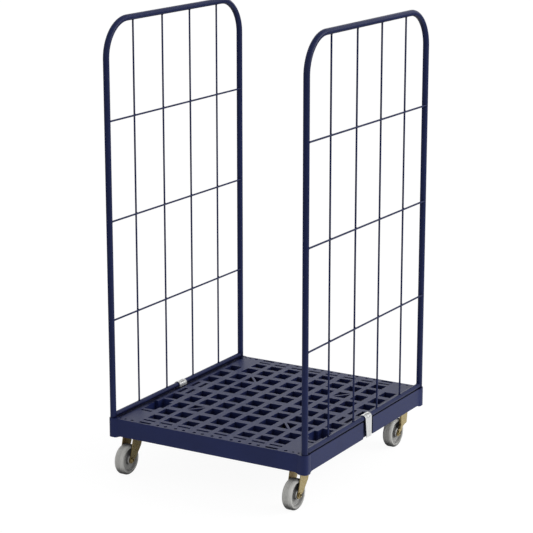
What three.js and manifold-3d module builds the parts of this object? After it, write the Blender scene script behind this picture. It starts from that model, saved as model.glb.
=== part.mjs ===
// Roll container with a moulded grid deck, two plug-in side panels of bent tube and wire, two swivel
// castors at the front and two fixed castors at the back.
// Millimetres, +Z up, the front is -Y, and the two side panels stand at -X and +X.
// The origin is on the floor, below the middle of the whole object's outline.

import * as THREE from 'three';
import { mergeVertices } from 'three/addons/utils/BufferGeometryUtils.js';
import Module from 'manifold-3d';

const wasm = await Module();
wasm.setup();

// Driving dimensions of the whole
const PANEL_SPACING = 708.4;      // between the two panels' centre planes
const POST_SPACING = 790;         // between a panel's front and back post axes
const TOP_TUBE_RISE = 1276;       // from the deck's top face to the top tube's axis
const BOTTOM_TUBE_RISE = 5.5;     // from the deck's top face to the bottom tube's axis
const BASE_HEIGHT = 58.5;         // from the skirt's lower edge to the deck's top face
const SIDE_STANDOUT_WIDTH = 8.8;  // from a panel's centre plane out to the deck's side face
const END_STANDOUT_WIDTH = 8;     // from the post axes out to the deck's front and back faces
const CASTOR_SIDE_INSET = 52;     // from the deck's side faces in to the castors' middles
const SWIVEL_INSET = 57;          // from the deck's front face back to the swivel axes
const FIXED_INSET = 72;           // from the deck's back face forward to the fixed plates' middles
const FIT_GAP = 0.3;              // clearance between pieces that sit on or in one another
const OVERRUN = 2;                // how far a cutter runs past the face that it cuts

// Deck moulding
const BOSS_THICKNESS = 3;         // round each post at the deck's corners
const CORNER_FLANK_WIDTH = 12;
const CORNER_BLEND_LENGTH = 10;
const CORNER_STEPS = 6;
const SKIRT_THICKNESS = 5;
const SKIN_THICKNESS = 5;
const CELL_THICKNESS = 5;
const RIB_RECESS_DEPTH = 16.5;    // from the skirt's lower edge up to the cell walls' lower edges
const PAD_RECESS_DEPTH = 11;      // from the skirt's lower edge up to the pads over the castors
const FOOT_DEPTH = 4.5;
const FOOT_LENGTH = 31;
const FOOT_TAPER_LENGTH = 12;
const PAD_MARGIN = 3;
const SOCKET_FLOOR_THICKNESS = 14;
const CLIP_RECESS_WIDTH = 56;
const CLIP_RECESS_DEPTH = 6;
const CHANNEL_WIDTH = 24;
const CHANNEL_LIP_WIDTH = 4;
const CHANNEL_LIP_DEPTH = 1.5;

// Deck openings, with places and lengths as shares of half the deck's width or depth
const COLUMN_SHARES = [0.0915, 0.2848, 0.4722, 0.6463, 0.8322];
const COLUMN_WIDTH_SHARES = [0.1295, 0.1295, 0.1267, 0.1212, 0.1185];
const ROW_SHARES = [0.099, 0.2725, 0.4558, 0.6459, 0.8035];
const ROW_LENGTH_SHARES = [0.1266, 0.129, 0.134, 0.1241, 0.0968];
const THIN_SLOT_SHARE = 0.903;
const EDGE_HOLE_SHARE = 0.968;
const CORNER_PIT_SHARES = [0.785, 0.855, 0.909];
const CORNER_PIT_SIZE_SHARES = [0.95, 0.7, 0.6];
const POCKET_SHARE = 0.516;
const POCKET_SLOT_SHARE = 0.703;
const BRACED_COLUMN = 2;
const BRACED_ROW = 2;
const BRACE_WIDTH = 8;
const SLOT_PAIR_SPACING = 31;
const SLOT_PAIR_WIDTH = 13;
const POCKET_WIDTH = 42;
const POCKET_LENGTH = 116;
const POCKET_STEP_WIDTH = 67;
const POCKET_STEP_LENGTH = 55;
const THIN_SLOT_LENGTH = 10;
const EDGE_SLOT_LENGTH = 12;
const EDGE_HOLE_DIAMETER = 12;
const EDGE_HOLE_SPACING = 30;
const CORNER_PIT_DEPTH = 12;

// Side panels
const TUBE_DIAMETER = 20;
const TUBE_THICKNESS = 1.5;
const TUBE_SIDES = 16;
const BORE_SIDES = 8;
const BEND_RADIUS = 117;
const BEND_STEPS = 7;
const WIRE_DIAMETER = 6;
const WIRE_SIDES = 8;
const UPRIGHT_WIRE_SHARES = [-0.624, -0.205, 0.205, 0.624];   // of half the post spacing
const CROSS_WIRE_SHARES = [0.2542, 0.5061, 0.7562];           // of the top tube's rise

// Retaining clips
const CLIP_WIDTH = 36;
const CLIP_THICKNESS = 2.5;
const CLIP_INNER_LENGTH = 6;
const CLIP_STEPS = 10;

// Castor plates and bolts
const PLATE_WIDTH = 92;
const PLATE_DEPTH = 84;
const PLATE_THICKNESS = 3;
const BOLT_SPACING_X = 72;
const BOLT_SPACING_Y = 62;
const BOLT_DIAMETER = 8;
const BOLT_GRIP_LENGTH = 12;
const HEX_WIDTH = 13;
const HEX_HEAD_HEIGHT = 5.3;
const HEX_NUT_HEIGHT = 6.5;
const THREAD_END_LENGTH = 1.5;

// Swivel bearing
const RACE_DEPTH = 5.5;
const RACE_INNER_DIAMETER = 30;
const RACE_OUTER_DIAMETER = 52;
const BALL_DIAMETER = 6.2;
const BALL_COUNT = 8;
const CAGE_WIDTH = 9;
const CAGE_THICKNESS = 1.5;
const KING_PIN_DIAMETER = 12;
const KING_PIN_HEAD_DIAMETER = 22;
const KING_PIN_HEAD_HEIGHT = 3;
const LOWER_RACE_HEIGHT = 3;

// Wheels
const WHEEL_DIAMETER = 100;
const WHEEL_WIDTH = 32;
const TREAD_RADIUS = 7;
const TREAD_STEPS = 2;
const RIM_DEPTH = 8;
const RIM_TAPER_DEPTH = 3;
const WEB_THICKNESS = 12;
const HUB_DIAMETER = 31;
const HUB_STANDOUT_LENGTH = 1;    // of the hub's end faces beyond the tyre's
const BUSH_DIAMETER = 20;
const SLEEVE_DIAMETER = 14;

// Castor legs, with outline points as shares of the sizes that each table names
const TRAIL_LENGTH = 41;          // from a plate's middle forward to its wheel's axle
const LEG_THICKNESS = 3;
const HUB_CLEARANCE = 1.2;        // between the hub's end faces and the legs
const CROWN_CLEARANCE = 20.7;     // from the top of the tread up to the crown's underside
const EYE_RADIUS = 12;            // of the leg's rounded end about the axle
const EYE_STEPS = 6;
const CROWN_DIAMETER = 60;
const SWIVEL_LEG_FRONT_SHARES = [[-1.01, 1], [-1.31, 0.502]];            // crown radius, crown rise
const SWIVEL_LEG_NECK_SHARES = [[-0.33, 1.5]];                           // eye radius about the axle
const SWIVEL_LEG_REAR_NECK_SHARES = [[1.75, 0.04], [3.08, 1.42]];        // eye radius about the axle
const SWIVEL_LEG_BACK_SHARES = [[0.45, 0.51], [0.57, 0.655], [0.9, 0.85], [0.97, 1]];
const FIXED_LEG_FRONT_SHARES = [[-0.81, 1], [-0.76, 0.341]];             // plate half, plate rise
const FIXED_LEG_NECK_SHARES = [[0.25, 1.17]];                            // eye radius about the axle
const FIXED_LEG_REAR_NECK_SHARES = [[1.83, 0.08], [2.5, 1.17]];          // eye radius about the axle
const FIXED_LEG_BACK_SHARES = [[0.14, 0.219], [0.43, 0.227], [0.58, 0.638], [0.62, 1]];

// Facets of round pieces
const WHEEL_SIDES = 24;
const ROUND_SIDES = 24;
const PIN_SIDES = 16;
const BOLT_SIDES = 12;
const HOLE_SIDES = 10;
const BALL_SIDES = 6;
const BALL_BANDS = 4;
const HEX_SIDES = 6;
const SQUARE_SIDES = 4;

// Places worked out from the sizes above
const panelX = PANEL_SPACING / 2;
const postY = POST_SPACING / 2;
const halfWidth = panelX + SIDE_STANDOUT_WIDTH;
const halfDepth = postY + END_STANDOUT_WIDTH;
const castorX = halfWidth - CASTOR_SIDE_INSET;
const swivelReach = halfDepth - SWIVEL_INSET;
const fixedReach = halfDepth - FIXED_INSET;
const tubeRadius = TUBE_DIAMETER / 2;
const cornerRadius = tubeRadius + BOSS_THICKNESS;
const wheelRadius = WHEEL_DIAMETER / 2;
const hubLength = WHEEL_WIDTH + 2 * HUB_STANDOUT_LENGTH;
const legInner = hubLength / 2 + HUB_CLEARANCE;
const legOuter = legInner + LEG_THICKNESS;
const crownBottom = WHEEL_DIAMETER + CROWN_CLEARANCE;
const crownTop = crownBottom + LEG_THICKNESS;
const raceBottom = crownTop + BALL_DIAMETER + 2 * FIT_GAP;
const plateBottom = raceBottom + RACE_DEPTH;
const castorHeight = plateBottom + PLATE_THICKNESS;
const padBottom = castorHeight + FIT_GAP;
const underside = padBottom - PAD_RECESS_DEPTH;
const deckTop = underside + BASE_HEIGHT;
const ribBottom = underside + RIB_RECESS_DEPTH;
const socketBottom = underside + SOCKET_FLOOR_THICKNESS;
const ribTop = deckTop - SKIN_THICKNESS / 2;
const innerX = halfWidth - SKIRT_THICKNESS;
const innerY = halfDepth - SKIRT_THICKNESS;
const topTubeZ = deckTop + TOP_TUBE_RISE;
const bottomTubeZ = deckTop + BOTTOM_TUBE_RISE;
const postClearance = TUBE_DIAMETER + 2 * FIT_GAP;
const clipInner = tubeRadius + FIT_GAP;
const clipOuter = clipInner + CLIP_THICKNESS;
const axleY = -TRAIL_LENGTH;
const axleZ = wheelRadius;
const frontReach = swivelReach + TRAIL_LENGTH + wheelRadius;
const backReach = postY + cornerRadius;
const outlineMiddle = (backReach - frontReach) / 2;

const castors = [['left', -1], ['right', 1]].flatMap(([side, sx]) => [
  { name: `front_${side}`, x: sx * castorX, y: -swivelReach, swivels: true },
  { name: `rear_${side}`, x: sx * castorX, y: fixedReach, swivels: false },
]);

const finishes = {
  deck: { color: 0x3a3c58, roughness: 0.6, metalness: 0 },
  tube: { color: 0x1e2247, roughness: 0.35, metalness: 0.1 },
  clip: { color: 0xe3e4e0, roughness: 0.3, metalness: 0.8 },
  zinc: { color: 0xab9c6c, roughness: 0.4, metalness: 0.8 },
  steel: { color: 0x8d8f92, roughness: 0.35, metalness: 0.9 },
  wheel: { color: 0xa9a9a5, roughness: 0.5, metalness: 0 },
  bush: { color: 0x2c2c2e, roughness: 0.5, metalness: 0 },
};

function named(name, geometry, finish) {
  const mesh = new THREE.Mesh(geometry, new THREE.MeshStandardMaterial(finishes[finish]));
  mesh.name = name;
  return mesh;
}

// Solid tools: a closed geometry becomes a solid that can be cut or joined, and comes back as one
function solidOf(geometry) {
  const bare = geometry.clone();
  bare.deleteAttribute('normal');
  bare.deleteAttribute('uv');
  const merged = mergeVertices(bare);
  return new wasm.Manifold(new wasm.Mesh({
    numProp: 3,
    vertProperties: new Float32Array(merged.attributes.position.array),
    triVerts: new Uint32Array(merged.index.array),
  }));
}

function geometryOf(solid) {
  const mesh = solid.getMesh();
  const geometry = new THREE.BufferGeometry();
  geometry.setAttribute('position', new THREE.BufferAttribute(new Float32Array(mesh.vertProperties), 3));
  geometry.setIndex(new THREE.BufferAttribute(new Uint32Array(mesh.triVerts), 1));
  geometry.computeVertexNormals();
  return geometry;
}

function join(geometries) {
  return wasm.Manifold.union(geometries.map(solidOf));
}

// A box between two corners, given in any order
function block(x0, x1, y0, y1, z0, z1) {
  const box = new THREE.BoxGeometry(Math.abs(x1 - x0), Math.abs(y1 - y0), Math.abs(z1 - z0));
  return box.translate((x0 + x1) / 2, (y0 + y1) / 2, (z0 + z1) / 2);
}

function blockAt(x, y, width, depth, z0, z1) {
  return block(x - width / 2, x + width / 2, y - depth / 2, y + depth / 2, z0, z1);
}

function barUp(x, y, diameter, z0, z1, sides) {
  const bar = new THREE.CylinderGeometry(diameter / 2, diameter / 2, z1 - z0, sides);
  return bar.rotateX(Math.PI / 2).translate(x, y, (z0 + z1) / 2);
}

function barAlongX(x0, x1, y, z, diameter, sides) {
  const bar = new THREE.CylinderGeometry(diameter / 2, diameter / 2, x1 - x0, sides);
  return bar.rotateZ(-Math.PI / 2).translate((x0 + x1) / 2, y, z);
}

function barAlongY(x, y0, y1, z, diameter, sides) {
  const bar = new THREE.CylinderGeometry(diameter / 2, diameter / 2, y1 - y0, sides);
  return bar.translate(x, (y0 + y1) / 2, z);
}

// A hexagon's corner diameter from its width across the flats
function hexDiameter(width) {
  return 2 * width / Math.sqrt(3);
}

// A piece turned about +Z from the corners of its closed section, given as [radius, height]
function turned(section, sides) {
  const closed = [...section, section[0]].map(([r, z]) => new THREE.Vector2(r, z));
  return new THREE.LatheGeometry(closed, sides).rotateX(Math.PI / 2);
}

function ring(inner, outer, z0, z1, sides) {
  return turned([[inner, z0], [outer, z0], [outer, z1], [inner, z1]], sides);
}

function arc(x, y, radius, from, to, steps) {
  return Array.from({ length: steps + 1 }, (_, i) => {
    const angle = from + (to - from) * i / steps;
    return new THREE.Vector2(x + radius * Math.cos(angle), y + radius * Math.sin(angle));
  });
}

function extrudeUp(outline, z0, z1) {
  const shape = new THREE.Shape(outline);
  return new THREE.ExtrudeGeometry(shape, { depth: z1 - z0, bevelEnabled: false }).translate(0, 0, z0);
}

// A plate whose outline is drawn in (y, z), standing between x0 and x1
function extrudeAlongX(outline, x0, x1) {
  const shape = new THREE.Shape(outline);
  const plate = new THREE.ExtrudeGeometry(shape, { depth: x1 - x0, bevelEnabled: false });
  const turn = new THREE.Matrix4().makeBasis(
    new THREE.Vector3(0, 1, 0), new THREE.Vector3(0, 0, 1), new THREE.Vector3(1, 0, 0));
  return plate.applyMatrix4(turn).translate(x0, 0, 0);
}

// Deck outline
// One quarter, from the middle of the +X side round the post's boss to the middle of the +Y side
function quarterOutline() {
  const flankY = postY - CORNER_FLANK_WIDTH;
  const flankX = panelX - CORNER_FLANK_WIDTH;
  return [
    new THREE.Vector2(halfWidth - CLIP_RECESS_DEPTH, CLIP_RECESS_WIDTH / 2),
    new THREE.Vector2(halfWidth, CLIP_RECESS_WIDTH / 2),
    new THREE.Vector2(halfWidth, flankY - CORNER_BLEND_LENGTH),
    new THREE.Vector2(panelX + cornerRadius, flankY),
    ...arc(panelX, postY, cornerRadius, 0, Math.PI / 2, CORNER_STEPS),
    new THREE.Vector2(flankX, postY + cornerRadius),
    new THREE.Vector2(flankX - CORNER_BLEND_LENGTH, halfDepth),
  ];
}

function deckOutline() {
  const quarter = quarterOutline();
  const reversed = [...quarter].reverse();
  return [
    ...quarter,
    ...reversed.map((p) => new THREE.Vector2(-p.x, p.y)),
    ...quarter.map((p) => new THREE.Vector2(-p.x, -p.y)),
    ...reversed.map((p) => new THREE.Vector2(p.x, -p.y)),
  ];
}

// Deck openings
// The grid's cells as rectangles { x, y, width, length }; a lean of 1 or -1 leaves a brace across one
function gridCells() {
  const cells = [];
  const outermost = COLUMN_SHARES.length - 1;
  const backRow = ROW_SHARES.length - 1;
  for (const sx of [-1, 1]) {
    COLUMN_SHARES.forEach((columnShare, column) => {
      const x = sx * columnShare * halfWidth;
      const width = COLUMN_WIDTH_SHARES[column] * halfWidth;
      for (const sy of [-1, 1]) {
        ROW_SHARES.forEach((rowShare, row) => {
          const y = sy * rowShare * halfDepth;
          const length = ROW_LENGTH_SHARES[row] * halfDepth;
          if (column < outermost) {
            const braced = column === BRACED_COLUMN && row === BRACED_ROW;
            cells.push({ x, y, width, length, lean: braced ? sx * sy : 0 });
          } else if (row === 0) {
            for (const side of [-1, 1]) {
              cells.push({ x: x + side * SLOT_PAIR_SPACING / 2, y, width: SLOT_PAIR_WIDTH, length });
            }
          } else if (row < backRow && (sy > 0 || row < BRACED_ROW)) {
            cells.push({ x, y, width, length });
          }
        });
      }
    });
    const x = sx * COLUMN_SHARES[outermost] * halfWidth;
    const y = -POCKET_SHARE * halfDepth;
    cells.push({ x, y, width: POCKET_WIDTH, length: POCKET_LENGTH });
    cells.push({ x, y, width: POCKET_STEP_WIDTH, length: POCKET_STEP_LENGTH });
  }
  return cells;
}

// The thin slots along the front and back edges, and behind the wheel pockets
function thinSlots() {
  const slots = [];
  const outermost = COLUMN_SHARES.length - 1;
  for (const sx of [-1, 1]) {
    slots.push({ x: sx * COLUMN_SHARES[outermost] * halfWidth, y: -POCKET_SLOT_SHARE * halfDepth,
      width: POCKET_WIDTH, length: THIN_SLOT_LENGTH });
    for (const sy of [-1, 1]) {
      COLUMN_SHARES.slice(0, outermost).forEach((share, column) => {
        const x = sx * share * halfWidth;
        const width = COLUMN_WIDTH_SHARES[column] * halfWidth;
        slots.push({ x, y: sy * THIN_SLOT_SHARE * halfDepth, width, length: THIN_SLOT_LENGTH });
        if (column === outermost - 1) {
          slots.push({ x, y: sy * EDGE_HOLE_SHARE * halfDepth, width, length: EDGE_SLOT_LENGTH });
        }
      });
    }
  }
  return slots;
}

// The pairs of round holes along the front and back edges
function edgeHoles() {
  const holes = [];
  for (const share of COLUMN_SHARES.slice(0, -2)) {
    for (const sx of [-1, 1]) {
      for (const sy of [-1, 1]) {
        for (const side of [-1, 1]) {
          holes.push(barUp(sx * share * halfWidth + side * EDGE_HOLE_SPACING / 2,
            sy * EDGE_HOLE_SHARE * halfDepth, EDGE_HOLE_DIAMETER, underside - OVERRUN, deckTop + OVERRUN,
            HOLE_SIDES));
        }
      }
    }
  }
  return join(holes);
}

function openingCut({ x, y, width, length, lean = 0 }) {
  const cut = solidOf(blockAt(x, y, width, length, underside - OVERRUN, deckTop + OVERRUN));
  if (lean === 0) {
    return cut;
  }
  const diagonal = Math.hypot(width, length) + 2 * OVERRUN;
  const brace = new THREE.BoxGeometry(diagonal, BRACE_WIDTH, BASE_HEIGHT + 4 * OVERRUN);
  brace.rotateZ(lean * Math.atan2(length, width)).translate(x, y, underside + BASE_HEIGHT / 2);
  return cut.subtract(solidOf(brace));
}

// The walls that hang round each cell on the underside
function cellWall({ x, y, width, length }) {
  return solidOf(blockAt(x, y, width + 2 * CELL_THICKNESS, length + 2 * CELL_THICKNESS, ribBottom, ribTop));
}

function cornerPits() {
  const pits = [];
  for (const sx of [-1, 1]) {
    for (const sy of [-1, 1]) {
      CORNER_PIT_SHARES.forEach((share, i) => {
        const size = CORNER_PIT_SIZE_SHARES[i];
        pits.push(barUp(sx * share * halfWidth, sy * EDGE_HOLE_SHARE * halfDepth,
          size * EDGE_HOLE_DIAMETER, deckTop - CORNER_PIT_DEPTH, deckTop + OVERRUN, HOLE_SIDES));
      });
    }
  }
  return join(pits);
}

// Solid pads over the castor plates, and the wall behind each clip's recess
function deckPads() {
  const pads = castors.map((castor) => {
    const outward = Math.sign(castor.x);
    const away = Math.sign(castor.y);
    return block(castor.x - outward * (PLATE_WIDTH / 2 + PAD_MARGIN), outward * (innerX + OVERRUN),
      castor.y - away * (PLATE_DEPTH / 2 + PAD_MARGIN), away * (innerY + OVERRUN), padBottom, ribTop);
  });
  const recessWall = halfWidth - CLIP_RECESS_DEPTH - SKIRT_THICKNESS;
  const recessEnd = CLIP_RECESS_WIDTH / 2 + SKIRT_THICKNESS;
  for (const sx of [-1, 1]) {
    pads.push(block(sx * recessWall, sx * (innerX + OVERRUN), -recessEnd, recessEnd, underside, ribTop));
  }
  return join(pads);
}

// The skirt's rim carried a little further down at each corner, with sloped ends
function cornerFeet() {
  const rim = solidOf(extrudeUp(deckOutline(), underside - FOOT_DEPTH, underside + OVERRUN));
  const inside = solidOf(blockAt(0, 0, 2 * innerX, 2 * innerY,
    underside - FOOT_DEPTH - OVERRUN, underside + 2 * OVERRUN));
  const topReach = FOOT_LENGTH + FOOT_TAPER_LENGTH * (1 + OVERRUN / FOOT_DEPTH);
  const kept = [];
  for (const sx of [-1, 1]) {
    for (const sy of [-1, 1]) {
      const taper = new THREE.CylinderGeometry(topReach * Math.SQRT2, FOOT_LENGTH * Math.SQRT2,
        FOOT_DEPTH + OVERRUN, SQUARE_SIDES);
      taper.rotateY(Math.PI / SQUARE_SIDES).rotateX(Math.PI / 2);
      kept.push(taper.translate(sx * (panelX + cornerRadius), sy * (postY + cornerRadius),
        underside + (OVERRUN - FOOT_DEPTH) / 2));
    }
  }
  return rim.subtract(inside).intersect(join(kept));
}

// The room for the bottom tubes, the clips, the posts and the castor bolts
function deckSeats() {
  const cuts = [];
  const lip = halfWidth - CHANNEL_LIP_WIDTH;
  const channelEnd = postY - cornerRadius;
  const channelFloor = bottomTubeZ - tubeRadius - FIT_GAP;
  const clipSweep = 2 * (Math.hypot(clipOuter, CLIP_INNER_LENGTH) + FIT_GAP);
  const clipEnd = CLIP_WIDTH / 2 + OVERRUN;
  for (const sx of [-1, 1]) {
    cuts.push(block(sx * (lip - CHANNEL_WIDTH), sx * lip, -channelEnd, channelEnd,
      channelFloor, deckTop + OVERRUN));
    cuts.push(block(sx * (lip - OVERRUN), sx * (panelX + cornerRadius + OVERRUN), -channelEnd, channelEnd,
      deckTop - CHANNEL_LIP_DEPTH, deckTop + OVERRUN));
    cuts.push(barAlongY(sx * panelX, -postY, postY, bottomTubeZ, postClearance, ROUND_SIDES));
    cuts.push(barAlongY(sx * panelX, -clipEnd, clipEnd, bottomTubeZ, clipSweep, ROUND_SIDES));
    for (const sy of [-1, 1]) {
      cuts.push(barUp(sx * panelX, sy * postY, postClearance, socketBottom,
        deckTop + OVERRUN, ROUND_SIDES));
    }
  }
  for (const castor of castors) {
    for (const [x, y] of boltPlaces()) {
      cuts.push(barUp(castor.x + x, castor.y + y, BOLT_DIAMETER + 2 * FIT_GAP,
        padBottom - OVERRUN, padBottom + BOLT_GRIP_LENGTH + OVERRUN, BOLT_SIDES));
    }
  }
  return join(cuts);
}

function deck() {
  const cells = gridCells();
  const slab = solidOf(extrudeUp(deckOutline(), underside, deckTop));
  const hollow = solidOf(block(-innerX, innerX, -innerY, innerY,
    underside - OVERRUN, deckTop - SKIN_THICKNESS));
  const kept = wasm.Manifold.union(cells.map(cellWall)).add(deckPads()).intersect(slab);
  return slab.subtract(hollow).add(kept).add(cornerFeet())
    .subtract(wasm.Manifold.union([...cells, ...thinSlots()].map(openingCut)))
    .subtract(edgeHoles())
    .subtract(cornerPits())
    .subtract(deckSeats());
}

// Side panels
// A path through chosen stations, so that a bent tube has rings only where it needs them
class StationPath extends THREE.Curve {
  constructor(stations) {
    super();
    this.stations = stations;
  }

  stationAt(u) {
    return this.stations[Math.round(u * (this.stations.length - 1))];
  }

  getPointAt(u, target = new THREE.Vector3()) {
    return target.copy(this.stationAt(u).point);
  }

  getTangentAt(u, target = new THREE.Vector3()) {
    return target.copy(this.stationAt(u).tangent);
  }
}

// Up the front post, over the top and down the back post
function frameStations(x) {
  const low = socketBottom + FIT_GAP;
  const bendZ = topTubeZ - BEND_RADIUS;
  const bendY = postY - BEND_RADIUS;
  const stations = [{ point: new THREE.Vector3(x, -postY, low), tangent: new THREE.Vector3(0, 0, 1) }];
  for (const [middleY, from] of [[-bendY, Math.PI], [bendY, Math.PI / 2]]) {
    for (let i = 0; i <= BEND_STEPS; i += 1) {
      const angle = from - Math.PI / 2 * i / BEND_STEPS;
      const along = Math.cos(angle);
      const up = Math.sin(angle);
      stations.push({
        point: new THREE.Vector3(x, middleY + BEND_RADIUS * along, bendZ + BEND_RADIUS * up),
        tangent: new THREE.Vector3(0, up, -along),
      });
    }
  }
  stations.push({ point: new THREE.Vector3(x, postY, low), tangent: new THREE.Vector3(0, 0, -1) });
  return stations;
}

function bentTube(x) {
  const section = new THREE.Shape(arc(0, 0, tubeRadius, 0, 2 * Math.PI, TUBE_SIDES).slice(0, -1));
  const bore = arc(0, 0, tubeRadius - TUBE_THICKNESS, 0, 2 * Math.PI, BORE_SIDES).slice(0, -1);
  section.holes.push(new THREE.Path(bore));
  const stations = frameStations(x);
  return new THREE.ExtrudeGeometry(section, {
    steps: stations.length - 1,
    bevelEnabled: false,
    extrudePath: new StationPath(stations),
  });
}

// What the two posts of a panel take up, with their clearance
function postRoom(x) {
  return join([-1, 1].map((sy) => (
    barUp(x, sy * postY, postClearance, socketBottom, topTubeZ, ROUND_SIDES))));
}

function bottomTube(x) {
  const tube = solidOf(barAlongY(x, -postY, postY, bottomTubeZ, TUBE_DIAMETER, TUBE_SIDES));
  const bore = solidOf(barAlongY(x, -postY - OVERRUN, postY + OVERRUN, bottomTubeZ,
    TUBE_DIAMETER - 2 * TUBE_THICKNESS, BORE_SIDES));
  return geometryOf(tube.subtract(bore).subtract(postRoom(x)));
}

function uprightWire(x, y) {
  return barUp(x, y, WIRE_DIAMETER, bottomTubeZ + tubeRadius + FIT_GAP, topTubeZ - tubeRadius - FIT_GAP,
    WIRE_SIDES);
}

// Both panels have their cross wires on the +X side of the uprights, welded to the posts
function crossWire(x, z) {
  const wire = barAlongY(x + WIRE_DIAMETER + FIT_GAP, -postY, postY, z, WIRE_DIAMETER, WIRE_SIDES);
  return geometryOf(solidOf(wire).subtract(postRoom(x)));
}

// A strap over the bottom tube, with a short leg inside and a long leg down the outside of the deck
function clip(sx) {
  const outerLeg = bottomTubeZ - underside;
  const outline = [
    new THREE.Vector2(clipInner, -outerLeg),
    new THREE.Vector2(clipOuter, -outerLeg),
    ...arc(0, 0, clipOuter, 0, Math.PI, CLIP_STEPS),
    new THREE.Vector2(-clipOuter, -CLIP_INNER_LENGTH),
    new THREE.Vector2(-clipInner, -CLIP_INNER_LENGTH),
    ...arc(0, 0, clipInner, Math.PI, 0, CLIP_STEPS),
  ];
  const strap = new THREE.ExtrudeGeometry(new THREE.Shape(outline),
    { depth: CLIP_WIDTH, bevelEnabled: false });
  strap.translate(0, 0, -CLIP_WIDTH / 2).rotateX(Math.PI / 2);
  if (sx < 0) {
    strap.rotateZ(Math.PI);
  }
  return strap.translate(sx * panelX, 0, bottomTubeZ);
}

function sidePanel(side, sx) {
  const x = sx * panelX;
  return [
    named(`panel_frame_${side}`, bentTube(x), 'tube'),
    named(`bottom_tube_${side}`, bottomTube(x), 'tube'),
    ...UPRIGHT_WIRE_SHARES.map((share, i) => (
      named(`upright_wire_${side}_${i + 1}`, uprightWire(x, share * postY), 'tube'))),
    ...CROSS_WIRE_SHARES.map((share, i) => (
      named(`cross_wire_${side}_${i + 1}`, crossWire(x, deckTop + share * TOP_TUBE_RISE), 'tube'))),
    named(`retaining_clip_${side}`, clip(sx), 'clip'),
  ];
}

// Castor pieces, each drawn about its own plate's middle with the axle forward of it
function boltPlaces() {
  return [-1, 1].flatMap((sx) => (
    [-1, 1].map((sy) => [sx * BOLT_SPACING_X / 2, sy * BOLT_SPACING_Y / 2])));
}

// A plate with its four bolts, which are one solid with it
function boltedPlate() {
  return [
    blockAt(0, 0, PLATE_WIDTH, PLATE_DEPTH, plateBottom, castorHeight),
    ...boltPlaces().flatMap(([x, y]) => [
      barUp(x, y, hexDiameter(HEX_WIDTH), plateBottom - HEX_HEAD_HEIGHT, plateBottom + PLATE_THICKNESS / 2,
        HEX_SIDES),
      barUp(x, y, BOLT_DIAMETER, plateBottom, padBottom + BOLT_GRIP_LENGTH, BOLT_SIDES),
    ]),
  ];
}

function swivelPlate() {
  const race = ring(RACE_INNER_DIAMETER / 2, RACE_OUTER_DIAMETER / 2, raceBottom,
    plateBottom + PLATE_THICKNESS / 2, ROUND_SIDES);
  const pinHole = barUp(0, 0, KING_PIN_DIAMETER + 2 * FIT_GAP, plateBottom - OVERRUN,
    castorHeight + OVERRUN, PIN_SIDES);
  return geometryOf(join([...boltedPlate(), race]).subtract(solidOf(pinHole)));
}

// The swivel's balls, held in a flat cage
function ballCage() {
  const middle = (raceBottom + crownTop) / 2;
  const radius = BALL_DIAMETER / 2;
  const circle = (RACE_INNER_DIAMETER + RACE_OUTER_DIAMETER) / 4;
  const balls = Array.from({ length: BALL_COUNT }, (_, i) => {
    const angle = 2 * Math.PI * i / BALL_COUNT;
    const ball = new THREE.SphereGeometry(radius, BALL_SIDES, BALL_BANDS).rotateX(Math.PI / 2);
    return ball.translate(circle * Math.cos(angle), circle * Math.sin(angle), middle);
  });
  const cage = ring(circle - CAGE_WIDTH / 2, circle + CAGE_WIDTH / 2, middle - CAGE_THICKNESS / 2,
    middle + CAGE_THICKNESS / 2, PIN_SIDES);
  return geometryOf(join([cage, ...balls]));
}

function lowerRace() {
  const top = crownBottom - FIT_GAP;
  return ring(KING_PIN_DIAMETER / 2 + FIT_GAP, legInner - HUB_CLEARANCE, top - LOWER_RACE_HEIGHT, top,
    PIN_SIDES);
}

function kingPin() {
  const headTop = crownBottom - LOWER_RACE_HEIGHT - 2 * FIT_GAP;
  const headBottom = headTop - KING_PIN_HEAD_HEIGHT;
  const head = KING_PIN_HEAD_DIAMETER / 2;
  const shank = KING_PIN_DIAMETER / 2;
  return turned([[0, headBottom], [head, headBottom], [head, headTop], [shank, headTop],
    [shank, castorHeight], [0, castorHeight]], PIN_SIDES);
}

// Outline points from a table of shares, measured in two sizes from a start point
function sharePoints(shares, y, z, ySize, zSize) {
  return shares.map(([yShare, zShare]) => new THREE.Vector2(y + yShare * ySize, z + zShare * zSize));
}

function aboutAxle(shares) {
  return sharePoints(shares, axleY, axleZ, EYE_RADIUS, EYE_RADIUS);
}

function swivelLegOutline() {
  const crown = CROWN_DIAMETER / 2;
  const rise = crownTop - axleZ;
  return [
    ...sharePoints(SWIVEL_LEG_FRONT_SHARES, 0, axleZ, crown, rise),
    ...aboutAxle(SWIVEL_LEG_NECK_SHARES),
    ...arc(axleY, axleZ, EYE_RADIUS, Math.PI, 2 * Math.PI, EYE_STEPS),
    ...aboutAxle(SWIVEL_LEG_REAR_NECK_SHARES),
    ...sharePoints(SWIVEL_LEG_BACK_SHARES, 0, axleZ, crown, rise),
  ];
}

function fixedLegOutline() {
  const half = PLATE_DEPTH / 2;
  const rise = plateBottom + PLATE_THICKNESS / 2 - axleZ;
  return [
    ...sharePoints(FIXED_LEG_FRONT_SHARES, 0, axleZ, half, rise),
    ...aboutAxle(FIXED_LEG_NECK_SHARES),
    ...arc(axleY, axleZ, EYE_RADIUS, Math.PI, 2 * Math.PI, EYE_STEPS),
    ...aboutAxle(FIXED_LEG_REAR_NECK_SHARES),
    ...sharePoints(FIXED_LEG_BACK_SHARES, 0, axleZ, half, rise),
  ];
}

function twoLegs(outline) {
  return [extrudeAlongX(outline, -legOuter, -legInner), extrudeAlongX(outline, legInner, legOuter)];
}

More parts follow.
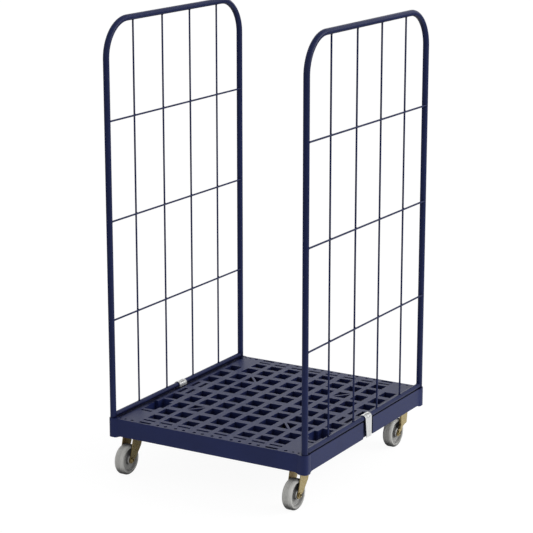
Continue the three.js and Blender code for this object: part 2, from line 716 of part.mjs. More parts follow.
function axleHole() {
  return solidOf(barAlongX(-legOuter - OVERRUN, legOuter + OVERRUN, axleY, axleZ,
    BOLT_DIAMETER + 2 * FIT_GAP, BOLT_SIDES));
}

function swivelFork() {
  const outline = swivelLegOutline();
  const front = outline[0].x;
  const back = outline[outline.length - 1].x;
  const crown = barUp(0, 0, CROWN_DIAMETER, crownBottom, crownTop, ROUND_SIDES);
  const bridge = block(-legOuter, legOuter, front, back, crownBottom, crownTop);
  const pinHole = barUp(0, 0, KING_PIN_DIAMETER + 4 * FIT_GAP, crownBottom - OVERRUN,
    crownTop + OVERRUN, PIN_SIDES);
  return geometryOf(join([crown, bridge, ...twoLegs(outline)])
    .subtract(solidOf(pinHole)).subtract(axleHole()));
}

function fixedBracket() {
  return geometryOf(join([...boltedPlate(), ...twoLegs(fixedLegOutline())]).subtract(axleHole()));
}

// Half of the wheel's section as [radius, offset], from the bore out to the middle of the tread
function wheel() {
  const bore = BUSH_DIAMETER / 2 + FIT_GAP;
  const hub = HUB_DIAMETER / 2;
  const hubEnd = hubLength / 2;
  const web = WEB_THICKNESS / 2;
  const rimEnd = WHEEL_WIDTH / 2;
  const shoulder = wheelRadius - TREAD_RADIUS;
  const rim = shoulder - RIM_DEPTH;
  const tread = arc(shoulder, rimEnd - TREAD_RADIUS, TREAD_RADIUS, Math.PI / 2, 0, TREAD_STEPS);
  const half = [[bore, hubEnd], [hub, hubEnd], [hub, web], [rim, web], [rim + RIM_TAPER_DEPTH, rimEnd],
    ...tread.map((p) => [p.x, p.y])];
  const mirrored = [...half].reverse().map(([r, offset]) => [r, -offset]);
  return turned([...half, ...mirrored].reverse(), WHEEL_SIDES).rotateY(Math.PI / 2)
    .translate(0, axleY, axleZ);
}

function ringOnAxle(inner, outer, length) {
  return ring(inner, outer, -length / 2, length / 2, PIN_SIDES).rotateY(Math.PI / 2)
    .translate(0, axleY, axleZ);
}

function wheelBush() {
  return ringOnAxle(SLEEVE_DIAMETER / 2 + FIT_GAP, BUSH_DIAMETER / 2, hubLength);
}

function axleSleeve() {
  return ringOnAxle(BOLT_DIAMETER / 2 + FIT_GAP, SLEEVE_DIAMETER / 2, 2 * (legInner - FIT_GAP));
}

function axleBolt() {
  const headFace = legOuter + FIT_GAP;
  const end = -legOuter - FIT_GAP - HEX_NUT_HEIGHT - THREAD_END_LENGTH;
  return geometryOf(join([
    barAlongX(headFace, headFace + HEX_HEAD_HEIGHT, axleY, axleZ, hexDiameter(HEX_WIDTH), HEX_SIDES),
    barAlongX(end, headFace + HEX_HEAD_HEIGHT / 2, axleY, axleZ, BOLT_DIAMETER, BOLT_SIDES),
  ]));
}

function axleNut() {
  const face = -legOuter - FIT_GAP;
  const end = face - HEX_NUT_HEIGHT;
  const nut = barAlongX(end, face, axleY, axleZ, hexDiameter(HEX_WIDTH), HEX_SIDES);
  const bore = barAlongX(end - OVERRUN, face + OVERRUN, axleY, axleZ, BOLT_DIAMETER + 2 * FIT_GAP,
    BOLT_SIDES);
  return geometryOf(solidOf(nut).subtract(solidOf(bore)));
}

function castorGroup(castor) {
  const label = castor.name;
  const group = new THREE.Group();
  group.position.set(castor.x, castor.y, 0);
  if (castor.swivels) {
    group.add(
      named(`castor_plate_${label}`, swivelPlate(), 'zinc'),
      named(`ball_cage_${label}`, ballCage(), 'steel'),
      named(`lower_race_${label}`, lowerRace(), 'zinc'),
      named(`king_pin_${label}`, kingPin(), 'zinc'),
      named(`swivel_fork_${label}`, swivelFork(), 'zinc'),
    );
  } else {
    group.add(named(`fixed_bracket_${label}`, fixedBracket(), 'zinc'));
  }
  group.add(
    named(`wheel_${label}`, wheel(), 'wheel'),
    named(`wheel_bush_${label}`, wheelBush(), 'bush'),
    named(`axle_sleeve_${label}`, axleSleeve(), 'steel'),
    named(`axle_bolt_${label}`, axleBolt(), 'zinc'),
    named(`axle_nut_${label}`, axleNut(), 'zinc'),
  );
  return group;
}

const rollContainer = new THREE.Group();
rollContainer.position.y = -outlineMiddle;
rollContainer.add(
  named('deck', geometryOf(deck()), 'deck'),
  ...sidePanel('left', -1),
  ...sidePanel('right', 1),
  ...castors.map(castorGroup),
);

export default rollContainer;
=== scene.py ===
# Roll container: moulded grid deck, two plug-in side panels of bent tube and wire, two swivel castors
# at the front and two fixed castors at the back.
# Metres, +Z up, the front is -Y, and the side panels stand at -X and +X.

import math

import bmesh
import bpy
from mathutils import Matrix, Vector


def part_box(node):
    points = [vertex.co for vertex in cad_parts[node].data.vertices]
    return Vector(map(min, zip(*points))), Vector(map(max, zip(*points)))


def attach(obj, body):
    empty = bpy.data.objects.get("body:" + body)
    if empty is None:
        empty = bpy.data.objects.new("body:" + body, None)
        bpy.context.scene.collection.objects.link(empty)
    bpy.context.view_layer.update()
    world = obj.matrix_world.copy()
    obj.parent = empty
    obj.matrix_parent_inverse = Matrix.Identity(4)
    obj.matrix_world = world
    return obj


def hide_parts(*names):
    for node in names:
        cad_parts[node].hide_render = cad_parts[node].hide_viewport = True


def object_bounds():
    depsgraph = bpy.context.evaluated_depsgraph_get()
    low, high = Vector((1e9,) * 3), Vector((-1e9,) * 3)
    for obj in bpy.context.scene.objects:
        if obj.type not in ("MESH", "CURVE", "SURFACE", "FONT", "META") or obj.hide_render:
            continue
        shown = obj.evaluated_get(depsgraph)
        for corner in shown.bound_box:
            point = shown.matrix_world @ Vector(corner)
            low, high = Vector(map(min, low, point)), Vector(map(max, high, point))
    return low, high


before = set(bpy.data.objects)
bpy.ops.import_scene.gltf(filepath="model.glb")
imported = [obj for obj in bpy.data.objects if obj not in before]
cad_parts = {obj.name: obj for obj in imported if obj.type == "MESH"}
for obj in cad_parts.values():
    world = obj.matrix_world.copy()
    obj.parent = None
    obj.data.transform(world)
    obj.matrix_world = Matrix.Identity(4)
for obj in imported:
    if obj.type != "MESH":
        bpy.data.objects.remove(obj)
cad_low, cad_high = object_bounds()

MM = 0.001
SIDES = ("left", "right")
CASTORS = ("front_left", "front_right", "rear_left", "rear_right")

# Photograph
IMAGE_PIXELS = 533
LENS_PIXELS = 1907.0
CAMERA_PLACE = (3.0407, -5.1706, 2.1554)
CAMERA_TURN = 30.50
CAMERA_TILT = 14.08

# Colours, linear
NAVY_PLASTIC = (0.012, 0.022, 0.11)
NAVY_PLASTIC_DEEP = (0.0105, 0.0195, 0.098)
NAVY_COAT = (0.02, 0.028, 0.096)
NAVY_COAT_DEEP = (0.0175, 0.025, 0.086)
# Lighter navy for the edges: partly wear, partly a painted highlight
RUBBED_NAVY_AND_HIGHLIGHT = (0.05, 0.06, 0.13)
DUST = (0.3, 0.29, 0.27)
ZINC_GOLD = (0.56, 0.45, 0.2)
ZINC_PALE = (0.64, 0.55, 0.31)
ZINC_BROWN = (0.38, 0.27, 0.11)
CLIP_SILVER = (0.98, 0.985, 0.98)
CLIP_SHADE = (0.9, 0.91, 0.91)
STEEL_GREY = (0.55, 0.55, 0.56)
STEEL_DARK = (0.36, 0.36, 0.37)
WHEEL_GREY = (0.66, 0.655, 0.63)
WHEEL_SHADE = (0.6, 0.595, 0.57)
WHEEL_SCUFF = (0.36, 0.35, 0.33)
BUSH_BLACK = (0.03, 0.03, 0.032)
FLOOR_TONE = (0.13, 0.13, 0.13)

# Painted shade: what those colours are multiplied by where the surface is closed in, standing in for the shade
# that falls in hollows and between parts
PAINTED_SHADE_NAVY = (0.03, 0.07, 0.3)
PAINTED_SHADE_BROWN = (0.3, 0.22, 0.12)
PAINTED_SHADE_GREY = (0.22, 0.22, 0.23)

# Noise
NOISE_RANGE = (0.3, 0.7)          # where nearly all of a noise's values lie
NOISE_MIDDLE = (0.35, 0.65)       # the part of that range that a colour drifts over

# Rounded outlines
ROUNDING_SHARE = 0.48             # how much of an outline's edge the rounding at its end may take
LEAST_ROUNDING = 0.05 * MM        # below this reach a corner is left as it is

# Studio light
FLOOR_RADIUS = 60.0
FLOOR_DROP = 0.5 * MM             # how far the floor lies below the wheels
FLOOR_GLOW = 0.93
FLOOR_SPREAD = (-1.5, 2.0)        # metres along the lean, where the floor's painted glow in reflections changes
FLOOR_MIRRORED = (0.35, 0.95)     # strength of that painted glow, away from the brighter side and on it
FLOOR_BOUNCE = 0.22               # strength of the painted glow that the floor gives to matt surfaces, in place of light bounced off it
FLOOR_SHADE = (-0.12, 0.03)       # metres out from the base, where its painted shadow on the floor's glow ends
FLOOR_UNDER = 0.2                 # share of the floor's painted glow that is left under the base, in that painted shadow
FLOOR_POOL = (0.9, 2.2)           # metres out from the base, where the floor's painted pool of glow fades out
FLOOR_FAR = 0.1                   # share of the floor's painted glow that is left beyond that
SKY_LEAN = (0.75, 0.6, 0.0)       # towards the brighter side
SKY_SPREAD = (-1.0, 1.0)          # along the lean, where the light changes
SKY_AROUND = (0.8, 1.75)          # strength away from the brighter side, and on it
SHEEN_LEAN = (-0.5, 0.85, 0.0)    # the same three for what shows in reflections
SHEEN_SPREAD = (0.3, 1.0)
SHEEN_AROUND = (0.35, 1.35)
SKY_UPWARD = (1.4, 0.25)          # share at the horizon, and overhead
SKY_SEEN = 1.25                   # what makes the background's own grey of 0.8 white to the camera
SOFTBOX_PLACE = (3.3, 1.8, 2.2)
SOFTBOX_SIZE = 2.0
SOFTBOX_POWER = 45.0

# Deck
MERGE_DISTANCE = 0.01 * MM
FLAT_DEGREES = 0.5
DECK_EDGE_ROUNDING = 0.7 * MM
LIP_BAND = (184.5 * MM, 185.5 * MM)    # heights around the lips' top edge in the solid
LIP_DROP = 1.2 * MM               # how much lower the lips beside the bottom tubes stand in the photo
LIP_WIDTH = 2 * MM
RECESS_REACH = 16 * MM            # the recess walls behind each clip, within this distance
RECESS_GAIN = 10 * MM             # how much further back they stand in the photo

# Side panels
UPRIGHT_COUNT = 4
CROSS_COUNT = 3
BEND_RADIUS = 117 * MM
BEND_STEPS = 24
TUBE_SIDES = 40
WIRE_SIDES = 16
RAIL_SHARE = 0.84                 # the bottom tube's radius, of the posts'
SADDLE_STEPS = 48
SADDLE_SINK = 0.4 * MM
WELD_STANDOFF = 0.3 * MM
WELD_RADIUS = 1.4 * MM
WELD_SIDES = 10
WELD_RIPPLE = 0.5 * MM
WELD_RIPPLE_SCALE = 420.0

# Small welds where wires meet wires or tubes: sides, differences in size, and half sizes in x, y and z
NUB_SIDES = 12
NUB_BANDS = 6
NUB_SPREAD = 0.1
TUBE_NUB = (4.1 * MM, 4.1 * MM, 1.6 * MM)
POST_NUB = (4.1 * MM, 1.7 * MM, 4.1 * MM)
CROSSING_NUB = (2.6 * MM, 3.9 * MM, 3.9 * MM)

# Retaining clips
CLIP_THICKNESS = 2.5 * MM
CLIP_GAIN = 5 * MM                # how much further back the strap reaches in the photo
CLIP_INNER_LENGTH = 6 * MM
CLIP_FOOT_INSET = 9 * MM
CLIP_GROOVE_PLACE = 6 * MM
CLIP_GROOVE_WIDTH = 5 * MM
CLIP_GROOVE_DEPTH = 1.6 * MM
CLIP_EDGE_ROUNDING = 0.5 * MM
CLIP_BEND_STEPS = 32
CLIP_ROWS = 72
CLIP_COLUMNS = 54

# Castor legs, crowns and plates, drawn about the middle of each plate
TRAIL = 41 * MM
FIT_GAP = 0.3 * MM
LEG_THICKNESS = 3 * MM
LEG_INNER = 18.2 * MM
LEG_OUTER = LEG_INNER + LEG_THICKNESS
LEG_BEND = 4.5 * MM
LEG_BEND_STEPS = 6
LEG_ROUNDING = 5 * MM
NECK_ROUNDING = 15 * MM
EYE_RADIUS = 12 * MM
EYE_STEPS = 20
CROWN_RADIUS = 30 * MM
CROWN_FRONT = (0.9 * CROWN_RADIUS, -1.1 * CROWN_RADIUS)
CROWN_CORNER = 8 * MM
CROWN_STEPS = 32
PRESSED_EDGE = 0.55 * MM
FLANGE_WIDTH = 5 * MM
FLANGE_END = 13 * MM
FLANGE_THICKNESS = 2.4 * MM
FLANGE_INSET = 0.1 * MM
PLATE_CORNER = 8 * MM
PLATE_THICKNESS = 3 * MM

# Leg outlines: shares of the plate's half depth and of the height from the axle to the plate, for the
# edges, and shares of the eye's radius, for the necks
FORK_FRONT_SHARES = [(-1.01, 1.0), (-1.31, 0.502)]
FORK_NECK_SHARES = [(-0.33, 1.5)]
FORK_REAR_NECK_SHARES = [(1.75, 0.04), (3.08, 1.42)]
FORK_BACK_SHARES = [(0.45, 0.51), (0.57, 0.655), (0.9, 0.85), (0.97, 1.0)]
BRACKET_FRONT_SHARES = [(-0.81, 1.0), (-0.76, 0.341)]
BRACKET_NECK_SHARES = [(0.25, 1.17)]
BRACKET_REAR_NECK_SHARES = [(1.83, 0.08), (2.5, 1.17)]
BRACKET_BACK_SHARES = [(0.14, 0.219), (0.43, 0.227), (0.58, 0.638), (0.62, 1.0)]

# Bolts and nuts
BOLT_SPACING_X = 72 * MM
BOLT_SPACING_Y = 62 * MM
BOLT_RADIUS = 4 * MM
BOLT_GRIP = 12 * MM
SHANK_LOW = -0.5 * MM             # the shank's ends, measured from under the plate
SHANK_HIGH = 15 * MM
WASHER_RADIUS = 8.5 * MM
WASHER_THICKNESS = 1.3 * MM
SHEET_ROUNDING = 0.4 * MM         # of the washers' and the ball cages' edges
HEX_FLAT = 6.5 * MM               # from the middle to a flat
HEX_HEIGHT = 5.3 * MM
HEX_FACE_SHARE = 0.96             # the round end faces, of that distance
HEX_CHAMFER = math.tan(math.radians(30))
HEX_STEPS = 24
NUT_HEIGHT = 6.5 * MM
NUT_BORE = 4.3 * MM

# Swivel heads
RACE_BORE = 15 * MM
RACE_RIM = 26 * MM
RACE_FOOT = 27.5 * MM
RACE_LIFT = 6.8 * MM              # how high the pressed race ends over the fork
RACE_SINK = 1 * MM                # how far it goes into the plate
RACE_ROUNDING = 2.2 * MM
BALL_COUNT = 8
BALL_CIRCLE = 20.5 * MM
CAGE_REACH = (16.2 * MM, 24.8 * MM)
CAGE_HALF = 0.75 * MM
LOWER_RACE_BORE = 6.3 * MM
LOWER_RACE_ROUNDING = 0.8 * MM
PIN_RADIUS = 6 * MM
PIN_HEAD_HEIGHT = 3 * MM
PIN_HEAD_SIDE = 1.4 * MM          # where the pin's head is at its widest
PIN_HEAD_SHARE = 0.55             # how wide its end is, of that
PIN_ROUNDING = 1.2 * MM

# Wheels and axles
ROUND_STEPS = 64
WHEEL_STEPS = 96
HUB_BORE = 10.3 * MM
HUB_RADIUS = 15.5 * MM
WEB_HALF = 6 * MM
RIM_FOOT = 34.5 * MM              # where the web meets the rim
RIM_MOUTH = 38.5 * MM             # where the rim begins at the wheel's side
RIM_INSET = 1 * MM                # how far the rim's side stands back from the hub's end
SHOULDER_WIDTH = 5 * MM           # the slant from the rim's side to the tread, in from the tread
SHOULDER_FALL = 6 * MM            # and down from the side
WHEEL_ROUNDINGS = (1.4 * MM, 3 * MM, 4 * MM, 1.6 * MM, 3 * MM)
TREAD_ROUNDING = 9 * MM
TREAD_START = 48.0                # degrees, where the tread's rounding takes over
TREAD_STEPS = 12
GROOVE_PLACES = (4.5 * MM, 0.0)
GROOVE_MOUTH = 0.7 * MM
GROOVE_FLOOR = 0.3 * MM
GROOVE_DEPTH = 0.5 * MM
BUSH_BORE = 7.3 * MM
BUSH_RADIUS = 10 * MM
BUSH_ROUNDING = 0.5 * MM
SLEEVE_BORE = 4.3 * MM
SLEEVE_RADIUS = 7 * MM
SLEEVE_COLLAR = 9 * MM
SLEEVE_GAP = 0.25 * MM
AXLE_RADIUS = 4 * MM
AXLE_POINT = 0.6 * MM

# The axle screw's head as radius and height over its seat, in millimetres, from the socket's floor out
SCREW_HEAD = ((0, -5), (3.2, -5), (3.2, 0.6), (4.6, 1), (4.6, 4.4), (5.4, 5), (6.7, 4.4), (7.2, 3.6),
              (7.2, 0), (4, 0))


# Node tools
def fill_socket(tree, socket, value):
    """Links an input to another socket, or sets it to a plain value."""
    if isinstance(value, bpy.types.NodeSocket):
        tree.links.new(value, socket)
    elif socket.type == "RGBA":
        socket.default_value = (*value, 1.0)
    else:
        socket.default_value = value


def add_node(tree, kind, inputs=None, **settings):
    """A node with its settings, and with its inputs filled by name or number."""
    node = tree.nodes.new(kind)
    for key, value in settings.items():
        setattr(node, key, value)
    for label, value in (inputs or {}).items():
        fill_socket(tree, node.inputs[label], value)
    return node


def new_tree(name, kind, inputs, outputs):
    """A node group with named sockets, its input node's sockets and its output node's."""
    tree = bpy.data.node_groups.new(name, kind)
    for label, socket_type, value in inputs:
        socket = tree.interface.new_socket(label, in_out="INPUT", socket_type=socket_type)
        if value is not None:
            socket.default_value = value
    for label, socket_type in outputs:
        tree.interface.new_socket(label, in_out="OUTPUT", socket_type=socket_type)
    start = tree.nodes.new("NodeGroupInput")
    end = tree.nodes.new("NodeGroupOutput")
    return tree, start.outputs, end.inputs


def shader_group(name, inputs, *outputs):
    """A shader node group whose sockets are all numbers."""
    return new_tree(name, "ShaderNodeTree",
                    [(label, "NodeSocketFloat", value) for label, value in inputs.items()],
                    [(label, "NodeSocketFloat") for label in outputs])


def cleared_tree(owner):
    """The node tree of a material or a world, without its first nodes."""
    owner.use_nodes = True
    owner.node_tree.nodes.clear()
    return owner.node_tree


def maths(tree, operation, first, second):
    return add_node(tree, "ShaderNodeMath", {0: first, 1: second}, operation=operation).outputs[0]


def vector_maths(tree, operation, inputs):
    return add_node(tree, "ShaderNodeVectorMath", inputs, operation=operation).outputs


def along(tree, direction, lean):
    """How far one direction or place lies along another."""
    return vector_maths(tree, "DOT_PRODUCT", {0: direction, 1: lean})["Value"]


def ramp(tree, value, low, high, to_low=0.0, to_high=1.0):
    """The value's range from low to high, spread over another range and clamped."""
    return add_node(tree, "ShaderNodeMapRange", {
        "Value": value, "From Min": low, "From Max": high,
        "To Min": to_low, "To Max": to_high}).outputs["Result"]


def object_place(tree):
    return add_node(tree, "ShaderNodeTexCoord").outputs["Object"]


def noise(tree, scale, detail, roughness=0.55, vector=None):
    """A noise over the object's own place, or over another vector."""
    return add_node(tree, "ShaderNodeTexNoise", {
        "Vector": vector or object_place(tree), "Scale": scale,
        "Detail": detail, "Roughness": roughness}).outputs["Fac"]


# Shader groups that several finishes share
def fine_grain_group():
    """Height is a fine surface grain, and Tone is a slow drift of the colour over the piece."""
    group, start, end = shader_group("fine_grain", {"Scale": 900.0, "Drift Scale": 9.0}, "Height", "Tone")
    slow = noise(group, start["Drift Scale"], detail=3.0)
    fill_socket(group, end["Height"], noise(group, start["Scale"], detail=4.0))
    fill_socket(group, end["Tone"], ramp(group, slow, *NOISE_MIDDLE))
    return group


def edge_wear_and_highlight_group():
    """Mask for edge wear that also serves as a painted edge highlight: strongest on outer edges, broken up by
    noise.
    """
    group, start, end = shader_group("edge_wear_and_highlight", {"Width": 0.0012, "Scale": 60.0}, "Mask")
    bevel = add_node(group, "ShaderNodeBevel", {"Radius": start["Width"]}, samples=4)
    geometry = add_node(group, "ShaderNodeNewGeometry")
    edge = ramp(group, along(group, bevel.outputs["Normal"], geometry.outputs["Normal"]), 0.98, 0.75)
    broken = ramp(group, noise(group, start["Scale"], detail=5.0), 0.42, 0.62)
    fill_socket(group, end["Mask"], maths(group, "MULTIPLY", edge, broken))
    return group


def dust_film_group():
    """Mask is a thin film on faces that look up, thicker in patches."""
    group, start, end = shader_group("dust_film", {"Scale": 14.0}, "Mask")
    geometry = add_node(group, "ShaderNodeNewGeometry")
    split = add_node(group, "ShaderNodeSeparateXYZ", {0: geometry.outputs["Normal"]})
    upward = ramp(group, split.outputs["Z"], 0.3, 0.95)
    patches = ramp(group, noise(group, start["Scale"], detail=6.0, roughness=0.65), 0.35, 0.75)
    fill_socket(group, end["Mask"], maths(group, "MULTIPLY", upward, patches))
    return group


def cavity_group():
    """Mask for painted shade, read from ambient occlusion: strongest where the surface is closed in by others.
    """
    group, start, end = shader_group("painted_cavity_shade", {"Reach": 0.04, "Deepest": 0.25}, "Mask")
    closed = add_node(group, "ShaderNodeAmbientOcclusion", {"Distance": start["Reach"]}, samples=8)
    fill_socket(group, end["Mask"], ramp(group, closed.outputs["AO"], 0.9, start["Deepest"]))
    return group


GRAIN = fine_grain_group()
PAINTED_CAVITY_SHADE = cavity_group()
EDGE_WEAR_AND_HIGHLIGHT = edge_wear_and_highlight_group()
DUST_FILM = dust_film_group()


class Finish:
    """A material with one Principled shader, and short calls for what feeds it."""

    def __init__(self, name, roughness, metallic=0.0, ior=1.5, specular=0.5):
        self.material = bpy.data.materials.new(name)
        self.tree = cleared_tree(self.material)
        self.shader = add_node(self.tree, "ShaderNodeBsdfPrincipled", {
            "Roughness": roughness, "Metallic": metallic, "IOR": ior, "Specular IOR Level": specular})
        add_node(self.tree, "ShaderNodeOutputMaterial", {"Surface": self.shader.outputs[0]})

    def group(self, group, **values):
        """A shader group placed in the material, with its inputs set by name."""
        inputs = {label.replace("_", " "): value for label, value in values.items()}
        return add_node(self.tree, "ShaderNodeGroup", inputs, node_tree=group).outputs

    def mix(self, factor, first, second, blend="MIX"):
        """A colour between two colours or sockets, by a socket's value."""
        node = add_node(self.tree, "ShaderNodeMix", {0: factor, 6: first, 7: second},
                        data_type="RGBA", blend_type=blend)
        return node.outputs[2]

    def layer(self, colour, mask, amount, over):
        """The colour with another one over it, as strong as the mask and the amount say."""
        return self.mix(maths(self.tree, "MULTIPLY", mask, amount), colour, over)

    def feed(self, label, value):
        fill_socket(self.tree, self.shader.inputs[label], value)

    def feed_painted_shade(self, colour, closed, tint):
        """Feeds the colour, darkened by painted shade where the surface is closed in."""
        self.feed("Base Color", self.mix(closed, colour, tint, "MULTIPLY"))

    def feed_dulled(self, roughness, closed):
        """Feeds the roughness, raised where the surface is closed in."""
        self.feed("Roughness", maths(self.tree, "MAXIMUM", roughness, closed))

    def bump(self, height, strength, distance):
        node = add_node(self.tree, "ShaderNodeBump", {
            "Strength": strength, "Distance": distance, "Height": height})
        self.feed("Normal", node.outputs["Normal"])


def moulded_navy():
    """High-density plastic with a fine moulded grain, slightly lighter at its edges, partly wear and partly a
    painted highlight, and with painted shade where it is closed in.
    """
    finish = Finish("moulded_navy", roughness=0.45, ior=1.4)
    grain = finish.group(GRAIN, Scale=1400.0, Drift_Scale=7.0)
    # Lighter edges: partly wear, partly a painted highlight
    worn_and_highlit = finish.group(EDGE_WEAR_AND_HIGHLIGHT, Width=0.0014, Scale=90.0)["Mask"]
    dust = finish.group(DUST_FILM, Scale=11.0)["Mask"]
    # Painted shade where the deck is closed in, in its holes and recesses
    closed = finish.group(PAINTED_CAVITY_SHADE, Reach=0.06, Deepest=0.25)["Mask"]
    navy = finish.mix(grain["Tone"], NAVY_PLASTIC_DEEP, NAVY_PLASTIC)
    rubbed_and_highlit = finish.layer(navy, worn_and_highlit, 0.35, RUBBED_NAVY_AND_HIGHLIGHT)
    finish.feed_painted_shade(finish.layer(rubbed_and_highlit, dust, 0.035, DUST), closed, PAINTED_SHADE_NAVY)
    finish.feed_dulled(ramp(finish.tree, grain["Height"], *NOISE_RANGE, 0.4, 0.5), closed)
    finish.bump(grain["Height"], strength=0.25, distance=0.0004)
    return finish.material


def navy_powder_coat():
    """Powder coat on steel, with a faint orange peel and a little dust."""
    finish = Finish("navy_powder_coat", roughness=0.32, ior=1.45, specular=0.2)
    grain = finish.group(GRAIN, Scale=420.0, Drift_Scale=5.0)
    dust = finish.group(DUST_FILM, Scale=20.0)["Mask"]
    # Painted shade where the coat is closed in by the deck and other parts
    closed = finish.group(PAINTED_CAVITY_SHADE, Reach=0.03, Deepest=0.66)["Mask"]
    navy = finish.mix(grain["Tone"], NAVY_COAT_DEEP, NAVY_COAT)
    finish.feed_painted_shade(finish.layer(navy, dust, 0.03, DUST), closed, PAINTED_SHADE_NAVY)
    finish.feed_dulled(ramp(finish.tree, grain["Height"], *NOISE_RANGE, 0.28, 0.38), closed)
    finish.bump(grain["Height"], strength=0.22, distance=0.0003)
    return finish.material


def bright_clip_steel():
    """Bright sheet steel with a fine brushing along the strap."""
    finish = Finish("bright_clip_steel", roughness=0.3, metallic=0.85)
    stretch = add_node(finish.tree, "ShaderNodeMapping", {
        "Vector": object_place(finish.tree), "Scale": (4.0, 1.0, 0.05)})
    brushed = noise(finish.tree, 500.0, detail=2.0, roughness=0.5, vector=stretch.outputs["Vector"])
    tone = ramp(finish.tree, brushed, *NOISE_MIDDLE)
    finish.feed("Base Color", finish.mix(tone, CLIP_SHADE, CLIP_SILVER))
    finish.feed("Roughness", ramp(finish.tree, tone, 0.0, 1.0, 0.34, 0.28))
    return finish.material


def yellow_zinc():
    """Yellow passivated zinc, with its uneven gold and pale patches."""
    finish = Finish("yellow_zinc", roughness=0.3, metallic=0.85)
    grain = finish.group(GRAIN, Scale=900.0, Drift_Scale=110.0)
    # Paler edges: partly wear, partly a painted highlight
    worn_and_highlit = finish.group(EDGE_WEAR_AND_HIGHLIGHT, Width=0.0012, Scale=140.0)["Mask"]
    # Painted shade where the zinc is closed in, such as the bracket flanges beside the wheels
    closed = finish.group(PAINTED_CAVITY_SHADE, Reach=0.03, Deepest=0.5)["Mask"]
    patches = ramp(finish.tree, noise(finish.tree, 210.0, detail=5.0, roughness=0.65), 0.4, 0.62)
    gold = finish.mix(grain["Tone"], ZINC_GOLD, ZINC_PALE)
    stained = finish.layer(gold, patches, 0.6, ZINC_BROWN)
    finish.feed_painted_shade(finish.layer(stained, worn_and_highlit, 0.5, ZINC_PALE), closed, PAINTED_SHADE_BROWN)
    finish.feed("Roughness", ramp(finish.tree, patches, 0.0, 1.0, 0.24, 0.4))
    finish.bump(patches, strength=0.2, distance=0.0003)
    return finish.material


def plain_steel():
    finish = Finish("plain_steel", roughness=0.3, metallic=1.0)
    grain = finish.group(GRAIN, Scale=1200.0, Drift_Scale=90.0)
    finish.feed("Base Color", finish.mix(grain["Tone"], STEEL_DARK, STEEL_GREY))
    finish.feed("Roughness", ramp(finish.tree, grain["Height"], *NOISE_RANGE, 0.24, 0.4))
    finish.bump(grain["Height"], strength=0.12, distance=0.0002)
    return finish.material


def wheel_polyamide():
    """Light grey polyamide with scuffs, paler at its edges, partly wear and partly a painted highlight, and
    darkened by painted shade in its recesses.
    """
    finish = Finish("wheel_polyamide", roughness=0.45, ior=1.45)
    grain = finish.group(GRAIN, Scale=900.0, Drift_Scale=28.0)
    # Paler edges: partly wear, partly a painted highlight
    worn_and_highlit = finish.group(EDGE_WEAR_AND_HIGHLIGHT, Width=0.003, Scale=220.0)["Mask"]
    # Painted shade in the recess round the hub and where the wheel is closed in
    closed = finish.group(PAINTED_CAVITY_SHADE, Reach=0.05, Deepest=0.45)["Mask"]
    scuffs = ramp(finish.tree, noise(finish.tree, 75.0, detail=7.0, roughness=0.7), 0.55, 0.75)
    grey = finish.mix(grain["Tone"], WHEEL_SHADE, WHEEL_GREY)
    scuffed = finish.layer(grey, scuffs, 0.25, WHEEL_SCUFF)
    finish.feed_painted_shade(finish.layer(scuffed, worn_and_highlit, 0.3, CLIP_SHADE), closed, PAINTED_SHADE_GREY)
    finish.feed_dulled(ramp(finish.tree, scuffs, 0.0, 1.0, 0.4, 0.6), closed)
    finish.bump(grain["Height"], strength=0.3, distance=0.0004)
    return finish.material


def bush_plastic():
    finish = Finish("bush_plastic", roughness=0.5, ior=1.45)
    grain = finish.group(GRAIN, Scale=1000.0, Drift_Scale=60.0)
    finish.feed("Base Color", finish.mix(grain["Tone"], BUSH_BLACK, STEEL_DARK))
    finish.bump(grain["Height"], strength=0.2, distance=0.0003)
    return finish.material


FINISHES = {
    "deck_plastic": moulded_navy(),
    "blue_powder_coat": navy_powder_coat(),
    "clip_steel": bright_clip_steel(),
    "yellow_zinc": yellow_zinc(),
    "plain_steel": plain_steel(),
    "wheel_plastic": wheel_polyamide(),
    "bush_plastic": bush_plastic(),
}


# Object tools
def link(name, data):
    obj = bpy.data.objects.new(name, data)
    bpy.context.scene.collection.objects.link(obj)
    return obj


def mesh_of(name, bm, normals=True):
    """The bmesh as a mesh, with its faces turned outward where they aren't yet."""
    if normals:
        bmesh.ops.recalc_face_normals(bm, faces=bm.faces)
    mesh = bpy.data.meshes.new(name)
    bm.to_mesh(mesh)
    bm.free()
    return mesh


def settle(obj):
    """Works the object's modifiers into its mesh."""
    bpy.context.view_layer.update()
    graph = bpy.context.evaluated_depsgraph_get()
    mesh = bpy.data.meshes.new_from_object(obj.evaluated_get(graph))
    obj.modifiers.clear()
    rough = obj.data
    obj.data = mesh
    bpy.data.meshes.remove(rough)


def smooth(obj, degrees=35):
    """Smooth shading, with edges left sharp where they turn more than the angle."""
    obj.data.shade_smooth()
    obj.data.set_sharp_from_angle(angle=math.radians(degrees))


def round_edges(obj, width, degrees=35):
    """Rounds every edge that turns more than the given angle."""
    obj.data.shade_smooth()
    bevel = obj.modifiers.new("round_edges", "BEVEL")
    bevel.width = width
    bevel.segments = 2
    bevel.limit_method = "ANGLE"
    bevel.angle_limit = math.radians(degrees)
    bevel.loop_slide = False
    bevel.use_clamp_overlap = True
    flats = obj.modifiers.new("keep_flats", "WEIGHTED_NORMAL")
    flats.mode = "FACE_AREA"
    flats.weight = 100
    settle(obj)


def install(obj, body, slot, *nodes):
    """Gives a finished piece its material and its body, and hides the CAD nodes that it stands for."""
    obj.data.materials.clear()
    obj.data.materials.append(FINISHES[slot])
    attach(obj, body)
    if nodes:
        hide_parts(*nodes)


# Outlines
def rectangle(left, right, low, high):
    return [(left, low), (right, low), (right, high), (left, high)]


def round_angles(count):
    """Even angles all the way round."""
    return [2 * math.pi * i / count for i in range(count)]


